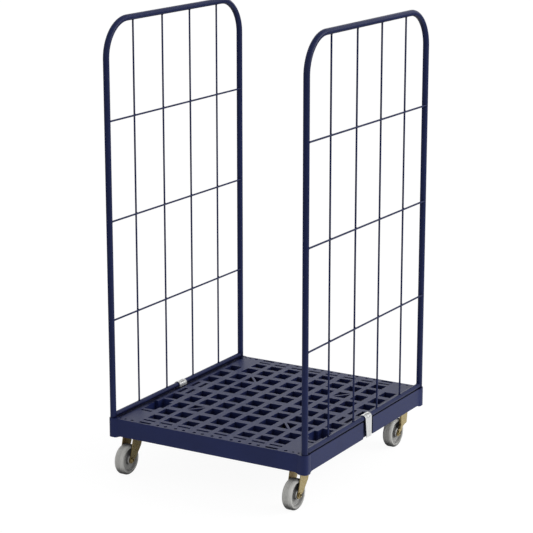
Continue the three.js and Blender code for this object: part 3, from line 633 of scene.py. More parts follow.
def arc(centre_x, centre_y, radius, start, end, steps):
    return [(centre_x + radius * math.cos(a), centre_y + radius * math.sin(a))
            for a in (start + (end - start) * i / steps for i in range(steps + 1))]


def rounded(points, radius, steps=6, closed=True):
    """The outline with its corners turned into short curves no larger than the radius."""
    corners = [Vector(p) for p in points]
    result = []
    for i, corner in enumerate(corners):
        if not closed and i in (0, len(corners) - 1):
            result.append(corner)
            continue
        before = corners[i - 1] - corner
        after = corners[(i + 1) % len(corners)] - corner
        half_turn = (math.pi - before.angle(after)) / 2
        longest = ROUNDING_SHARE * min(before.length, after.length)
        reach = min(radius * math.tan(half_turn), longest)
        if reach < LEAST_ROUNDING:
            result.append(corner)
            continue
        start = corner + before.normalized() * reach
        end = corner + after.normalized() * reach
        for k in range(steps + 1):
            t = k / steps
            result.append(start * (1 - t) ** 2 + corner * 2 * t * (1 - t) + end * t ** 2)
    return result


def even_steps(line, count):
    """The same line with points at even distances."""
    lengths = [0.0]
    for a, b in zip(line, line[1:]):
        lengths.append(lengths[-1] + (b - a).length)
    result = []
    segment = 0
    for i in range(count + 1):
        wanted = lengths[-1] * i / count
        while segment < len(line) - 2 and lengths[segment + 1] < wanted:
            segment += 1
        t = (wanted - lengths[segment]) / (lengths[segment + 1] - lengths[segment])
        result.append(line[segment].lerp(line[segment + 1], min(max(t, 0.0), 1.0)))
    return result


# Solids
ALONG_X = Matrix(((0, 0, 1, 0), (1, 0, 0, 0), (0, 1, 0, 0), (0, 0, 0, 1)))


def join_rows(bm, rows, closed=True):
    """Faces between each row of points and the next. A row of one point is a pole, and takes triangles."""
    for first, second in zip(rows, rows[1:]):
        count = max(len(first), len(second))
        for i in range(count if closed else count - 1):
            j = (i + 1) % count
            corners = [first[i % len(first)], first[j % len(first)],
                       second[j % len(second)], second[i % len(second)]]
            bm.faces.new(list(dict.fromkeys(corners)))


def lathe(profile, steps=ROUND_STEPS, ring=True):
    """Turns (radius, height) points about +Z. A ring's profile closes, others run from axis to axis."""
    bm = bmesh.new()
    rows = []
    for radius, height in profile:
        angles = round_angles(steps if radius > 0 else 1)
        rows.append([bm.verts.new((radius * math.cos(a), radius * math.sin(a), height)) for a in angles])
    join_rows(bm, rows + rows[:1] if ring else rows)
    return bm


def slab(outline, low, high):
    """A plate with an outline in (x, y) between two heights."""
    bm = bmesh.new()
    lower = [bm.verts.new((x, y, low)) for x, y in outline]
    upper = [bm.verts.new((x, y, high)) for x, y in outline]
    bm.faces.new(lower[::-1])
    bm.faces.new(upper)
    join_rows(bm, [lower, upper])
    return bm


def hex_part(height, bore=0.0):
    """A chamfered hexagon head or nut from 0 up to its height."""
    angles = round_angles(HEX_STEPS)
    reach = [HEX_FLAT / math.cos((a % (math.pi / 3)) - math.pi / 6) for a in angles]
    face = HEX_FLAT * HEX_FACE_SHARE
    rings = [
        [(face, 0.0)] * HEX_STEPS,
        [(r, (r - HEX_FLAT) * HEX_CHAMFER) for r in reach],
        [(r, height - (r - HEX_FLAT) * HEX_CHAMFER) for r in reach],
        [(face, height)] * HEX_STEPS,
    ]
    if bore:
        rings += [[(bore, height)] * HEX_STEPS, [(bore, 0.0)] * HEX_STEPS]
    bm = bmesh.new()
    rows = [[bm.verts.new((r * math.cos(a), r * math.sin(a), z)) for (r, z), a in zip(ring, angles)]
            for ring in rings]
    join_rows(bm, rows + rows[:1] if bore else rows)
    if not bore:
        bm.faces.new(rows[0][::-1])
        bm.faces.new(rows[-1])
    return bm


def add_part(target, part, matrix=Matrix.Identity(4)):
    """Moves one bmesh into another, placed by the matrix."""
    mesh = bpy.data.meshes.new("part")
    part.transform(matrix)
    bmesh.ops.recalc_face_normals(part, faces=part.faces)
    part.to_mesh(mesh)
    part.free()
    target.from_mesh(mesh)
    bpy.data.meshes.remove(mesh)


# Geometry node trees
def end_tree(tree, geometry, finish, end):
    """Turns copies into plain geometry, gives it its finish, and puts it out."""
    plain = add_node(tree, "GeometryNodeRealizeInstances", {0: geometry})
    coat = add_node(tree, "GeometryNodeSetMaterial", {"Geometry": plain.outputs[0], "Material": finish})
    fill_socket(tree, end["Geometry"], coat.outputs[0])
    return tree


def bar_tree():
    """A round bar on each edge path, with an optional ripple for weld beads."""
    tree, start, end = new_tree(
        "bar_on_path", "GeometryNodeTree",
        [("Geometry", "NodeSocketGeometry", None), ("Radius", "NodeSocketFloat", 0.01),
         ("Sides", "NodeSocketInt", 32), ("Ripple", "NodeSocketFloat", 0.0),
         ("Ripple Scale", "NodeSocketFloat", 300.0), ("Finish", "NodeSocketMaterial", None)],
        [("Geometry", "NodeSocketGeometry")])
    path = add_node(tree, "GeometryNodeMeshToCurve", {"Mesh": start["Geometry"]})
    ring = add_node(tree, "GeometryNodeCurvePrimitiveCircle",
                    {"Radius": start["Radius"], "Resolution": start["Sides"]}, mode="RADIUS")
    bar = add_node(tree, "GeometryNodeCurveToMesh", {
        "Curve": path.outputs[0], "Profile Curve": ring.outputs[0], "Fill Caps": True})
    place = add_node(tree, "GeometryNodeInputPosition").outputs[0]
    waves = noise(tree, start["Ripple Scale"], detail=2.0, roughness=0.5, vector=place)
    push = maths(tree, "MULTIPLY", maths(tree, "SUBTRACT", waves, 0.5), start["Ripple"])
    normal = add_node(tree, "GeometryNodeInputNormal").outputs[0]
    offset = vector_maths(tree, "SCALE", {0: normal, "Scale": push})[0]
    moved = add_node(tree, "GeometryNodeSetPosition", {"Geometry": bar.outputs[0], "Offset": offset})
    return end_tree(tree, moved.outputs[0], start["Finish"], end)


def copies_tree():
    """A copy of the template on each point, sized by the point's size attribute with a seeded spread."""
    tree, start, end = new_tree(
        "copies_on_points", "GeometryNodeTree",
        [("Geometry", "NodeSocketGeometry", None), ("Template", "NodeSocketObject", None),
         ("Spread", "NodeSocketFloat", 0.0), ("Seed", "NodeSocketInt", 7),
         ("Finish", "NodeSocketMaterial", None)],
        [("Geometry", "NodeSocketGeometry")])
    template = add_node(tree, "GeometryNodeObjectInfo", {"Object": start["Template"], "As Instance": True})
    size = add_node(tree, "GeometryNodeInputNamedAttribute", {"Name": "size"}, data_type="FLOAT_VECTOR")
    low = maths(tree, "SUBTRACT", 1.0, start["Spread"])
    high = maths(tree, "ADD", 1.0, start["Spread"])
    chance = add_node(tree, "FunctionNodeRandomValue", {2: low, 3: high, "Seed": start["Seed"]},
                      data_type="FLOAT")
    sized = vector_maths(tree, "SCALE", {0: size.outputs[0], "Scale": chance.outputs[1]})[0]
    copied = add_node(tree, "GeometryNodeInstanceOnPoints", {
        "Points": start["Geometry"], "Instance": template.outputs["Geometry"], "Scale": sized})
    return end_tree(tree, copied.outputs[0], start["Finish"], end)


BAR_ON_PATH = bar_tree()
COPIES_ON_POINTS = copies_tree()


def grown(name, mesh, tree, values):
    """A plain object: the tree's result on the mesh, with its inputs given by name."""
    obj = link(name, mesh)
    modifier = obj.modifiers.new("build", "NODES")
    modifier.node_group = tree
    for item in tree.interface.items_tree:
        if item.item_type == "SOCKET" and item.in_out == "INPUT" and item.name in values:
            modifier[item.identifier] = values[item.name]
    settle(obj)
    return obj


def path_mesh(paths, closed):
    """Edges along each list of points."""
    mesh = bpy.data.meshes.new("paths")
    points = []
    edges = []
    for path in paths:
        first = len(points)
        points += [tuple(p) for p in path]
        edges += [(i, i + 1) for i in range(first, len(points) - 1)]
        if closed:
            edges.append((len(points) - 1, first))
    mesh.from_pydata(points, edges, [])
    return mesh


def bars(name, paths, radius, sides, slot, closed=False, ripple=0.0):
    return grown(name, path_mesh(paths, closed), BAR_ON_PATH, {
        "Radius": radius, "Sides": sides, "Ripple": ripple, "Ripple Scale": WELD_RIPPLE_SCALE,
        "Finish": FINISHES[slot]})


def copies(name, places, template_bm, slot, spread=0.0, seed=7):
    """Copies of a template at (point, size) places."""
    mesh = bpy.data.meshes.new("points")
    mesh.from_pydata([tuple(point) for point, _ in places], [], [])
    sizes = mesh.attributes.new("size", "FLOAT_VECTOR", "POINT")
    for item, (_, size) in zip(sizes.data, places):
        item.vector = size
    template = link("template", mesh_of("template", template_bm))
    smooth(template)
    obj = grown(name, mesh, COPIES_ON_POINTS, {
        "Template": template, "Spread": spread, "Seed": seed, "Finish": FINISHES[slot]})
    bpy.data.objects.remove(template)
    return obj


def ball_mesh(sides, bands):
    """A ball of radius 1, to be sized where it is copied."""
    bm = bmesh.new()
    bmesh.ops.create_uvsphere(bm, u_segments=sides, v_segments=bands, radius=1.0)
    return bm


# Deck
def widen_recesses(bm):
    """Moves the back walls of the recesses for the clips to where the photo shows them."""
    for side in SIDES:
        low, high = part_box(f"retaining_clip_{side}")
        outward = 1 if high.x > 0 else -1
        inner_x = min(abs(low.x), abs(high.x))
        for vert in bm.verts:
            if vert.co.x * outward > inner_x and 0 < vert.co.y - high.y < RECESS_REACH:
                vert.co.y += RECESS_GAIN


def lower_lips(bm):
    """Lowers the lips of the skirt outside the bottom tubes, which leaves a dark line under each tube."""
    outer = max(abs(vert.co.x) for vert in bm.verts)
    for vert in bm.verts:
        if abs(vert.co.x) > outer - LIP_WIDTH and LIP_BAND[0] < vert.co.z < LIP_BAND[1]:
            vert.co.z -= LIP_DROP


def build_deck():
    """The moulding, with its edges rounded as they come from the mould."""
    bm = bmesh.new()
    bm.from_mesh(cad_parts["deck"].data)
    bmesh.ops.remove_doubles(bm, verts=bm.verts, dist=MERGE_DISTANCE)
    bmesh.ops.dissolve_limit(bm, angle_limit=math.radians(FLAT_DEGREES), verts=bm.verts, edges=bm.edges)
    widen_recesses(bm)
    lower_lips(bm)
    deck = link("moulded_deck", mesh_of("moulded_deck", bm, normals=False))
    round_edges(deck, DECK_EDGE_ROUNDING, degrees=40)
    install(deck, "base", "deck_plastic", "deck")


# Side panels
class Panel:
    """A side panel's tube axes and sizes, read from its nodes."""

    def __init__(self, side):
        low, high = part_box(f"panel_frame_{side}")
        self.side = side
        self.body = f"panel_{side}"
        self.radius = (high.x - low.x) / 2
        self.x = (low.x + high.x) / 2
        self.front = low.y + self.radius
        self.back = high.y - self.radius
        self.foot = low.z
        self.top = high.z - self.radius
        rail_low, rail_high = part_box(f"bottom_tube_{side}")
        self.rail = (rail_low.z + rail_high.z) / 2
        self.rail_radius = self.radius * RAIL_SHARE
        self.rail_axis = self.rail + self.radius - self.rail_radius


def frame_path(panel):
    """Up the front post, over the top and down the back post."""
    bend_z = panel.top - BEND_RADIUS
    points = [(panel.x, panel.front, panel.foot)]
    for middle, start, end in ((panel.front + BEND_RADIUS, math.pi, math.pi / 2),
                               (panel.back - BEND_RADIUS, math.pi / 2, 0.0)):
        points += [(panel.x, y, z) for y, z in arc(middle, bend_z, BEND_RADIUS, start, end, BEND_STEPS)]
    points.append((panel.x, panel.back, panel.foot))
    return points


def build_panel_frame(panel):
    obj = bars(f"bent_tube_{panel.side}", [frame_path(panel)], panel.radius, TUBE_SIDES, "blue_powder_coat")
    smooth(obj)
    install(obj, panel.body, "blue_powder_coat", f"panel_frame_{panel.side}")


def saddles(panel, standoff):
    """The two lines where the bottom tube meets the posts, held off the posts' surface by a distance."""
    reach = panel.radius + standoff
    lines = []
    for end, towards in ((panel.front, 1), (panel.back, -1)):
        points = []
        for angle in round_angles(SADDLE_STEPS):
            x = panel.rail_radius * math.cos(angle)
            y = end + towards * math.sqrt(reach ** 2 - x ** 2)
            points.append((panel.x + x, y, panel.rail_axis + panel.rail_radius * math.sin(angle)))
        lines.append(points)
    return lines


def build_bottom_tube(panel):
    """The bottom tube, its ends cut to the posts' roundness, and the weld beads round them."""
    bm = bmesh.new()
    rings = [[bm.verts.new(p) for p in line] for line in saddles(panel, -SADDLE_SINK)]
    join_rows(bm, rings)
    for ring in rings:
        bm.faces.new(ring)
    obj = link(f"bottom_tube_piece_{panel.side}", mesh_of("bottom_tube", bm))
    smooth(obj)
    install(obj, panel.body, "blue_powder_coat", f"bottom_tube_{panel.side}")
    weld = bars(f"corner_welds_{panel.side}", saddles(panel, WELD_STANDOFF), WELD_RADIUS, WELD_SIDES,
                "blue_powder_coat", closed=True, ripple=WELD_RIPPLE)
    smooth(weld, degrees=60)
    install(weld, panel.body, "blue_powder_coat")


def build_wires(panel):
    """The mesh wires as one piece, run into the tubes that they are welded to, and their small welds."""
    upright_nodes = [f"upright_wire_{panel.side}_{i + 1}" for i in range(UPRIGHT_COUNT)]
    cross_nodes = [f"cross_wire_{panel.side}_{i + 1}" for i in range(CROSS_COUNT)]
    low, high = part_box(upright_nodes[0])
    radius = (high.x - low.x) / 2
    sink = panel.radius / 4
    upright_places = []
    paths = []
    nubs = []
    for node in upright_nodes:
        low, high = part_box(node)
        y = (low.y + high.y) / 2
        upright_places.append(y)
        paths.append([(panel.x, y, low.z - sink), (panel.x, y, high.z + sink)])
        nubs += [((panel.x, y, low.z), TUBE_NUB), ((panel.x, y, high.z), TUBE_NUB)]
    for node in cross_nodes:
        low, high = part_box(node)
        x, z = (low.x + high.x) / 2, (low.z + high.z) / 2
        paths.append([(x, low.y - sink, z), (x, high.y + sink, z)])
        nubs += [((x, low.y, z), POST_NUB), ((x, high.y, z), POST_NUB)]
        nubs += [(((panel.x + x) / 2, y, z), CROSSING_NUB) for y in upright_places]
    wires = bars(f"mesh_wires_{panel.side}", paths, radius, WIRE_SIDES, "blue_powder_coat")
    smooth(wires)
    install(wires, panel.body, "blue_powder_coat", *upright_nodes, *cross_nodes)
    beads = copies(f"mesh_welds_{panel.side}", nubs, ball_mesh(NUB_SIDES, NUB_BANDS), "blue_powder_coat",
                   spread=NUB_SPREAD, seed=11)
    install(beads, panel.body, "blue_powder_coat")


# Retaining clips
def clip_path(inner, outer_leg):
    """The strap's inner face in (outward, up) from the tube's axis: up, over the tube and down outside."""
    over = [Vector(p) for p in arc(0, 0, inner, math.pi, 0, CLIP_BEND_STEPS)]
    line = [Vector((-inner, -CLIP_INNER_LENGTH)), *over, Vector((inner, -outer_leg))]
    return even_steps(line, CLIP_ROWS)


def pressed_depth(across):
    """How far the strap's outer face is pressed in, in two soft grooves along it."""
    distance = abs(abs(across) - CLIP_GROOVE_PLACE)
    t = min(distance / (CLIP_GROOVE_WIDTH / 2), 1.0)
    return CLIP_GROOVE_DEPTH * (1 - t * t * (3 - 2 * t))


def build_clip(panel):
    """The strap: rows of points across it, on its inner and its outer face."""
    low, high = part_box(f"retaining_clip_{panel.side}")
    outward = 1 if panel.x > 0 else -1
    middle_y = (low.y + high.y + CLIP_GAIN) / 2
    half_width = (high.y - low.y + CLIP_GAIN) / 2
    outer_leg = panel.rail - low.z
    line = clip_path((high.x - low.x) / 2 - CLIP_THICKNESS, outer_leg)
    bm = bmesh.new()
    inner_rows = []
    outer_rows = []
    for i, point in enumerate(line):
        direction = line[min(i + 1, CLIP_ROWS)] - line[max(i - 1, 0)]
        normal = Vector((-direction.y, direction.x)).normalized()
        lowness = max(-point.y, 0.0) / outer_leg if point.x > 0 else 0.0
        front = -half_width + CLIP_FOOT_INSET * lowness
        across = [front + (half_width - front) * k / CLIP_COLUMNS for k in range(CLIP_COLUMNS + 1)]
        for rows, depths in ((inner_rows, [0.0] * len(across)),
                             (outer_rows, [CLIP_THICKNESS - pressed_depth(a) for a in across])):
            places = [point + normal * depth for depth in depths]
            rows.append([bm.verts.new((panel.x + outward * place.x, middle_y + a, panel.rail + place.y))
                         for place, a in zip(places, across)])
    join_rows(bm, inner_rows, closed=False)
    join_rows(bm, outer_rows, closed=False)
    for k in (0, CLIP_COLUMNS):
        join_rows(bm, [(inner[k], outer[k]) for inner, outer in zip(inner_rows, outer_rows)], closed=False)
    for i in (0, CLIP_ROWS):
        join_rows(bm, [inner_rows[i], outer_rows[i]], closed=False)
    obj = link(f"strap_clip_{panel.side}", mesh_of("clip", bm))
    round_edges(obj, CLIP_EDGE_ROUNDING, degrees=60)
    install(obj, f"clip_{panel.side}", "clip_steel", f"retaining_clip_{panel.side}")


# Castors
class Castor:
    """A castor's place, heights and bodies, read from its nodes."""

    def __init__(self, label):
        self.label = label
        self.swivels = label.startswith("front")
        carrier = "castor_plate" if self.swivels else "fixed_bracket"
        low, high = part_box(f"{carrier}_{label}")
        self.x = (low.x + high.x) / 2
        self.plate_half_x = (high.x - low.x) / 2
        self.plate_bottom = high.z - BOLT_GRIP - FIT_GAP - PLATE_THICKNESS
        plate_low, plate_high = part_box(f"castor_plate_{label}" if self.swivels else "castor_plate_front_left")
        self.plate_half_y = (plate_high.y - plate_low.y) / 2
        wheel_low, wheel_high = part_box(f"wheel_{label}")
        self.axle_y = (wheel_low.y + wheel_high.y) / 2
        self.axle_z = (wheel_low.z + wheel_high.z) / 2
        self.y = self.axle_y + TRAIL
        self.wheel_radius = (wheel_high.z - wheel_low.z) / 2
        self.hub_half = (wheel_high.x - wheel_low.x) / 2
        self.fork_body = f"fork_{label}" if self.swivels else "base"
        self.wheel_body = f"wheel_{label}"
        self.place = self.at_height(0)
        self.axle = Matrix.Translation((self.x, self.axle_y, self.axle_z)) @ ALONG_X

    def at_height(self, z):
        """The place under the plate's middle, at a height."""
        return Matrix.Translation((self.x, self.y, z))


def install_pressing(castor, name, bm, body, node):
    """Rounds the edges of a piece pressed from sheet, and installs it."""
    obj = link(f"{name}_{castor.label}", mesh_of(name, bm, normals=False))
    round_edges(obj, PRESSED_EDGE)
    install(obj, body, "yellow_zinc", f"{node}_{castor.label}")


def install_turned(castor, name, profile, matrix, body, slot, *nodes, ring=True, steps=ROUND_STEPS,
                   degrees=35):
    """Turns a profile on the lathe, and installs it in the place that the matrix gives."""
    bm = lathe(profile, steps, ring)
    bm.transform(matrix)
    obj = link(f"{name}_{castor.label}", mesh_of(name, bm))
    smooth(obj, degrees)
    install(obj, body, slot, *nodes)


def leg_outline(castor, shares, width, top):
    """A leg's outline in (y, z) about the plate's middle: front edge, round eye, back edge."""
    front, neck, rear_neck, back = shares
    rise = top - castor.axle_z

    def from_top(table):
        return [(y * width, castor.axle_z + z * rise) for y, z in table]

    def from_axle(table):
        return [(-TRAIL + y * EYE_RADIUS, castor.axle_z + z * EYE_RADIUS) for y, z in table]

    eye = arc(-TRAIL, castor.axle_z, EYE_RADIUS, math.pi, 2 * math.pi, EYE_STEPS)
    front_line = rounded([*from_top(front), *from_axle(neck), eye[0]], NECK_ROUNDING, closed=False)
    back_line = rounded([eye[-1], *from_axle(rear_neck), *from_top(back)], LEG_ROUNDING, closed=False)
    return [*front_line[:-1], *eye, *back_line[1:]]


def pressed_leg(outline, top):
    """A leg on +X cut from sheet, bent outward into the plate or crown above it."""
    bm = slab(outline, LEG_INNER, LEG_OUTER)
    bm.transform(ALONG_X)
    middle = (LEG_INNER + LEG_OUTER) / 2
    start = top - LEG_BEND
    for i in range(LEG_BEND_STEPS):
        level = start + (top - start) * i / LEG_BEND_STEPS
        bmesh.ops.bisect_plane(bm, geom=bm.verts[:] + bm.edges[:] + bm.faces[:],
                               plane_co=(0, 0, level), plane_no=(0, 0, 1))
    for vert in bm.verts:
        if vert.co.z > start:
            angle = (vert.co.z - start) / (top - start) * math.pi / 2
            offset = vert.co.x - middle
            vert.co.x = middle + LEG_BEND - (LEG_BEND - offset) * math.cos(angle)
            vert.co.z = start + (LEG_BEND - offset) * math.sin(angle)
    return bm


def edge_flange(edge):
    """A strip on +X bent outward along a leg's front edge."""
    back = [Vector(p) + Vector((FLANGE_THICKNESS, 0)) for p in edge]
    bm = slab([*edge, *back[::-1]], LEG_INNER + FLANGE_INSET, LEG_OUTER + FLANGE_WIDTH)
    bm.transform(ALONG_X)
    return bm


def leg_places(castor):
    """Where the parts drawn on +X go, for the left and the right leg."""
    return [castor.place @ Matrix.Diagonal((side, 1, 1, 1)) for side in (-1, 1)]


def crown_outline():
    """A half disc behind, and a blunt nose with rounded corners in front."""
    x, y = CROWN_FRONT
    nose = rounded([(CROWN_RADIUS, 0.0), (x, y), (-x, y), (-CROWN_RADIUS, 0.0)], CROWN_CORNER, closed=False)
    return [*nose, *arc(0, 0, CROWN_RADIUS, math.pi, 0, CROWN_STEPS)[1:-1]]


def build_fork(castor):
    """The swivel fork: a crown and two trailing legs in one pressing."""
    crown_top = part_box(f"swivel_fork_{castor.label}")[1].z
    crown_bottom = crown_top - LEG_THICKNESS
    middle = (crown_top + crown_bottom) / 2
    shares = (FORK_FRONT_SHARES, FORK_NECK_SHARES, FORK_REAR_NECK_SHARES, FORK_BACK_SHARES)
    outline = leg_outline(castor, shares, CROWN_RADIUS, middle)
    bm = bmesh.new()
    for place in leg_places(castor):
        add_part(bm, pressed_leg(outline, middle), place)
    add_part(bm, slab(crown_outline(), crown_bottom, crown_top), castor.place)
    install_pressing(castor, "pressed_fork", bm, castor.fork_body, "swivel_fork")


def add_plate(bm, castor):
    """Adds the flat plate that is bolted under the deck."""
    half_x, half_y = castor.plate_half_x, castor.plate_half_y
    outline = rounded(rectangle(-half_x, half_x, -half_y, half_y), PLATE_CORNER)
    add_part(bm, slab(outline, castor.plate_bottom, castor.plate_bottom + PLATE_THICKNESS), castor.place)


def build_plate_bolts(castor):
    """Hexagon bolts with washers under the plate, and their shanks up into the deck's pads."""
    bolt = bmesh.new()
    upside_down = Matrix.Diagonal((1, -1, -1, 1))
    add_part(bolt, hex_part(HEX_HEIGHT - WASHER_THICKNESS),
             Matrix.Translation((0, 0, -WASHER_THICKNESS)) @ upside_down)
    washer = rounded(rectangle(BOLT_RADIUS, WASHER_RADIUS, -WASHER_THICKNESS, 0), SHEET_ROUNDING, steps=2)
    add_part(bolt, lathe(washer, steps=32))
    add_part(bolt, lathe(rectangle(0, BOLT_RADIUS, SHANK_LOW, SHANK_HIGH), steps=16, ring=False))
    places = [((castor.x + side * BOLT_SPACING_X / 2, castor.y + end * BOLT_SPACING_Y / 2,
                castor.plate_bottom), (1, 1, 1)) for side in (-1, 1) for end in (-1, 1)]
    obj = copies(f"plate_bolts_{castor.label}", places, bolt, "yellow_zinc")
    install(obj, "base", "yellow_zinc")


def build_balls(castor):
    """The ring of balls between the races, and their flat cage."""
    low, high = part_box(f"ball_cage_{castor.label}")
    middle = (low.z + high.z) / 2
    ball_radius = (high.z - low.z) / 2
    places = [((castor.x + BALL_CIRCLE * math.cos(a), castor.y + BALL_CIRCLE * math.sin(a), middle),
               (ball_radius,) * 3) for a in round_angles(BALL_COUNT)]
    balls = copies(f"race_balls_{castor.label}", places, ball_mesh(sides=16, bands=10), "plain_steel")
    install(balls, "base", "plain_steel", f"ball_cage_{castor.label}")
    cage = rounded(rectangle(*CAGE_REACH, -CAGE_HALF, CAGE_HALF), SHEET_ROUNDING, steps=2)
    install_turned(castor, "cage_ring", cage, castor.at_height(middle), "base", "plain_steel")


def build_swivel_head(castor):
    """The plate with its pressed upper race, the balls, the lower race and the king pin."""
    plate_bottom = castor.plate_bottom
    race_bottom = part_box(f"swivel_fork_{castor.label}")[1].z + RACE_LIFT
    bm = bmesh.new()
    add_plate(bm, castor)
    race = rounded([(RACE_BORE, plate_bottom + RACE_SINK), (RACE_BORE, race_bottom),
                    (RACE_RIM, race_bottom), (RACE_FOOT, plate_bottom),
                    (RACE_FOOT, plate_bottom + RACE_SINK)], RACE_ROUNDING, steps=5)
    add_part(bm, lathe(race), castor.place)
    install_pressing(castor, "top_plate", bm, "base", "castor_plate")
    build_plate_bolts(castor)
    build_balls(castor)

    low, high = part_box(f"lower_race_{castor.label}")
    section = rectangle(LOWER_RACE_BORE, (high.x - low.x) / 2, 0, high.z - low.z)
    install_turned(castor, "bottom_race", rounded(section, LOWER_RACE_ROUNDING, steps=3),
                   castor.at_height(low.z), "base", "yellow_zinc", f"lower_race_{castor.label}")

    low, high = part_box(f"king_pin_{castor.label}")
    head = (high.x - low.x) / 2
    top = high.z - low.z
    pin = [(0, 0), (head * PIN_HEAD_SHARE, 0), (head, PIN_HEAD_SIDE), (head, PIN_HEAD_HEIGHT),
           (PIN_RADIUS, PIN_HEAD_HEIGHT), (PIN_RADIUS, top), (0, top)]
    install_turned(castor, "rivet_pin", rounded(pin, PIN_ROUNDING, steps=4, closed=False),
                   castor.at_height(low.z), "base", "yellow_zinc", f"king_pin_{castor.label}", ring=False)


def build_fixed_bracket(castor):
    """The fixed bracket: a plate and two flanged legs in one pressing."""
    middle = castor.plate_bottom + PLATE_THICKNESS / 2
    shares = (BRACKET_FRONT_SHARES, BRACKET_NECK_SHARES, BRACKET_REAR_NECK_SHARES, BRACKET_BACK_SHARES)
    outline = leg_outline(castor, shares, castor.plate_half_y, middle)
    flange_end = castor.axle_z + FLANGE_END
    front_edge = [p for p in outline[:len(outline) // 2] if p[1] > flange_end and p[0] < 0]
    bm = bmesh.new()
    add_plate(bm, castor)
    for place in leg_places(castor):
        add_part(bm, pressed_leg(outline, middle), place)
        add_part(bm, edge_flange(front_edge), place)
    install_pressing(castor, "pressed_bracket", bm, "base", "fixed_bracket")
    build_plate_bolts(castor)


def wheel_profile(castor):
    """The wheel's section as (radius, offset) points: one half from hub to tread, then its mirror image."""
    radius = castor.wheel_radius
    hub_end = castor.hub_half
    rim_end = hub_end - RIM_INSET
    line = [Vector(p) for p in (
        (HUB_BORE, hub_end), (HUB_RADIUS, hub_end), (HUB_RADIUS, WEB_HALF), (RIM_FOOT, WEB_HALF),
        (RIM_MOUTH, rim_end), (radius - SHOULDER_WIDTH, rim_end), (radius, rim_end - SHOULDER_FALL))]
    half = [line[0]]
    for *corner, rounding in zip(line, line[1:], line[2:], WHEEL_ROUNDINGS):
        half += rounded(corner, rounding, closed=False)[1:-1]
    half += arc(radius - TREAD_ROUNDING, rim_end - TREAD_ROUNDING, TREAD_ROUNDING,
                math.radians(TREAD_START), 0, TREAD_STEPS)
    for groove in GROOVE_PLACES:
        half += [(radius, groove + GROOVE_MOUTH), (radius - GROOVE_DEPTH, groove + GROOVE_FLOOR)]
        if groove:
            half += [(radius - GROOVE_DEPTH, groove - GROOVE_FLOOR), (radius, groove - GROOVE_MOUTH)]
    return half + [(r, -offset) for r, offset in reversed(half)]


def build_wheel(castor):
    """The wheel in one moulding, the bush in its hub and the sleeve on the axle."""
    half = castor.hub_half
    install_turned(castor, "moulded_wheel", wheel_profile(castor), castor.axle, castor.wheel_body,
                   "wheel_plastic", f"wheel_{castor.label}", steps=WHEEL_STEPS, degrees=40)
    bush = rounded(rectangle(BUSH_BORE, BUSH_RADIUS, -half, half), BUSH_ROUNDING, steps=3)
    install_turned(castor, "bearing_bush", bush, castor.axle, castor.wheel_body, "bush_plastic",
                   f"wheel_bush_{castor.label}")
    end = LEG_INNER - FIT_GAP
    collar = half + SLEEVE_GAP
    sleeve = [(SLEEVE_BORE, -end), (SLEEVE_COLLAR, -end), (SLEEVE_COLLAR, -collar), (SLEEVE_RADIUS, -collar),
              (SLEEVE_RADIUS, collar), (SLEEVE_COLLAR, collar), (SLEEVE_COLLAR, end), (SLEEVE_BORE, end)]
    install_turned(castor, "spacer_sleeve", sleeve, castor.axle, castor.fork_body, "yellow_zinc",
                   f"axle_sleeve_{castor.label}")


def build_axle(castor):
    """The axle bolt with a round socket head on +X, and its nut on -X."""
    seat = LEG_OUTER + FIT_GAP
    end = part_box(f"axle_bolt_{castor.label}")[0].x - castor.x
    screw = [(radius * MM, seat + height * MM) for radius, height in SCREW_HEAD]
    screw += [(AXLE_RADIUS, end + AXLE_POINT), (AXLE_RADIUS - AXLE_POINT, end), (0, end)]
    install_turned(castor, "axle_screw", screw, castor.axle, castor.fork_body, "yellow_zinc",
                   f"axle_bolt_{castor.label}", ring=False)
    nut = bmesh.new()
    nut_place = castor.axle @ Matrix.Translation((0, 0, -seat - NUT_HEIGHT))
    add_part(nut, hex_part(NUT_HEIGHT, NUT_BORE), nut_place)
    obj = link(f"axle_locknut_{castor.label}", mesh_of("nut", nut))
    smooth(obj, degrees=25)
    install(obj, castor.fork_body, "yellow_zinc", f"axle_nut_{castor.label}")


# Studio
def build_camera():
    data = bpy.data.cameras.new("camera")
    data.lens = LENS_PIXELS / IMAGE_PIXELS * data.sensor_width
    camera = link("camera", data)
    camera.location = CAMERA_PLACE
    camera.rotation_euler = (math.radians(90 - CAMERA_TILT), 0, math.radians(CAMERA_TURN))
    bpy.context.scene.camera = camera


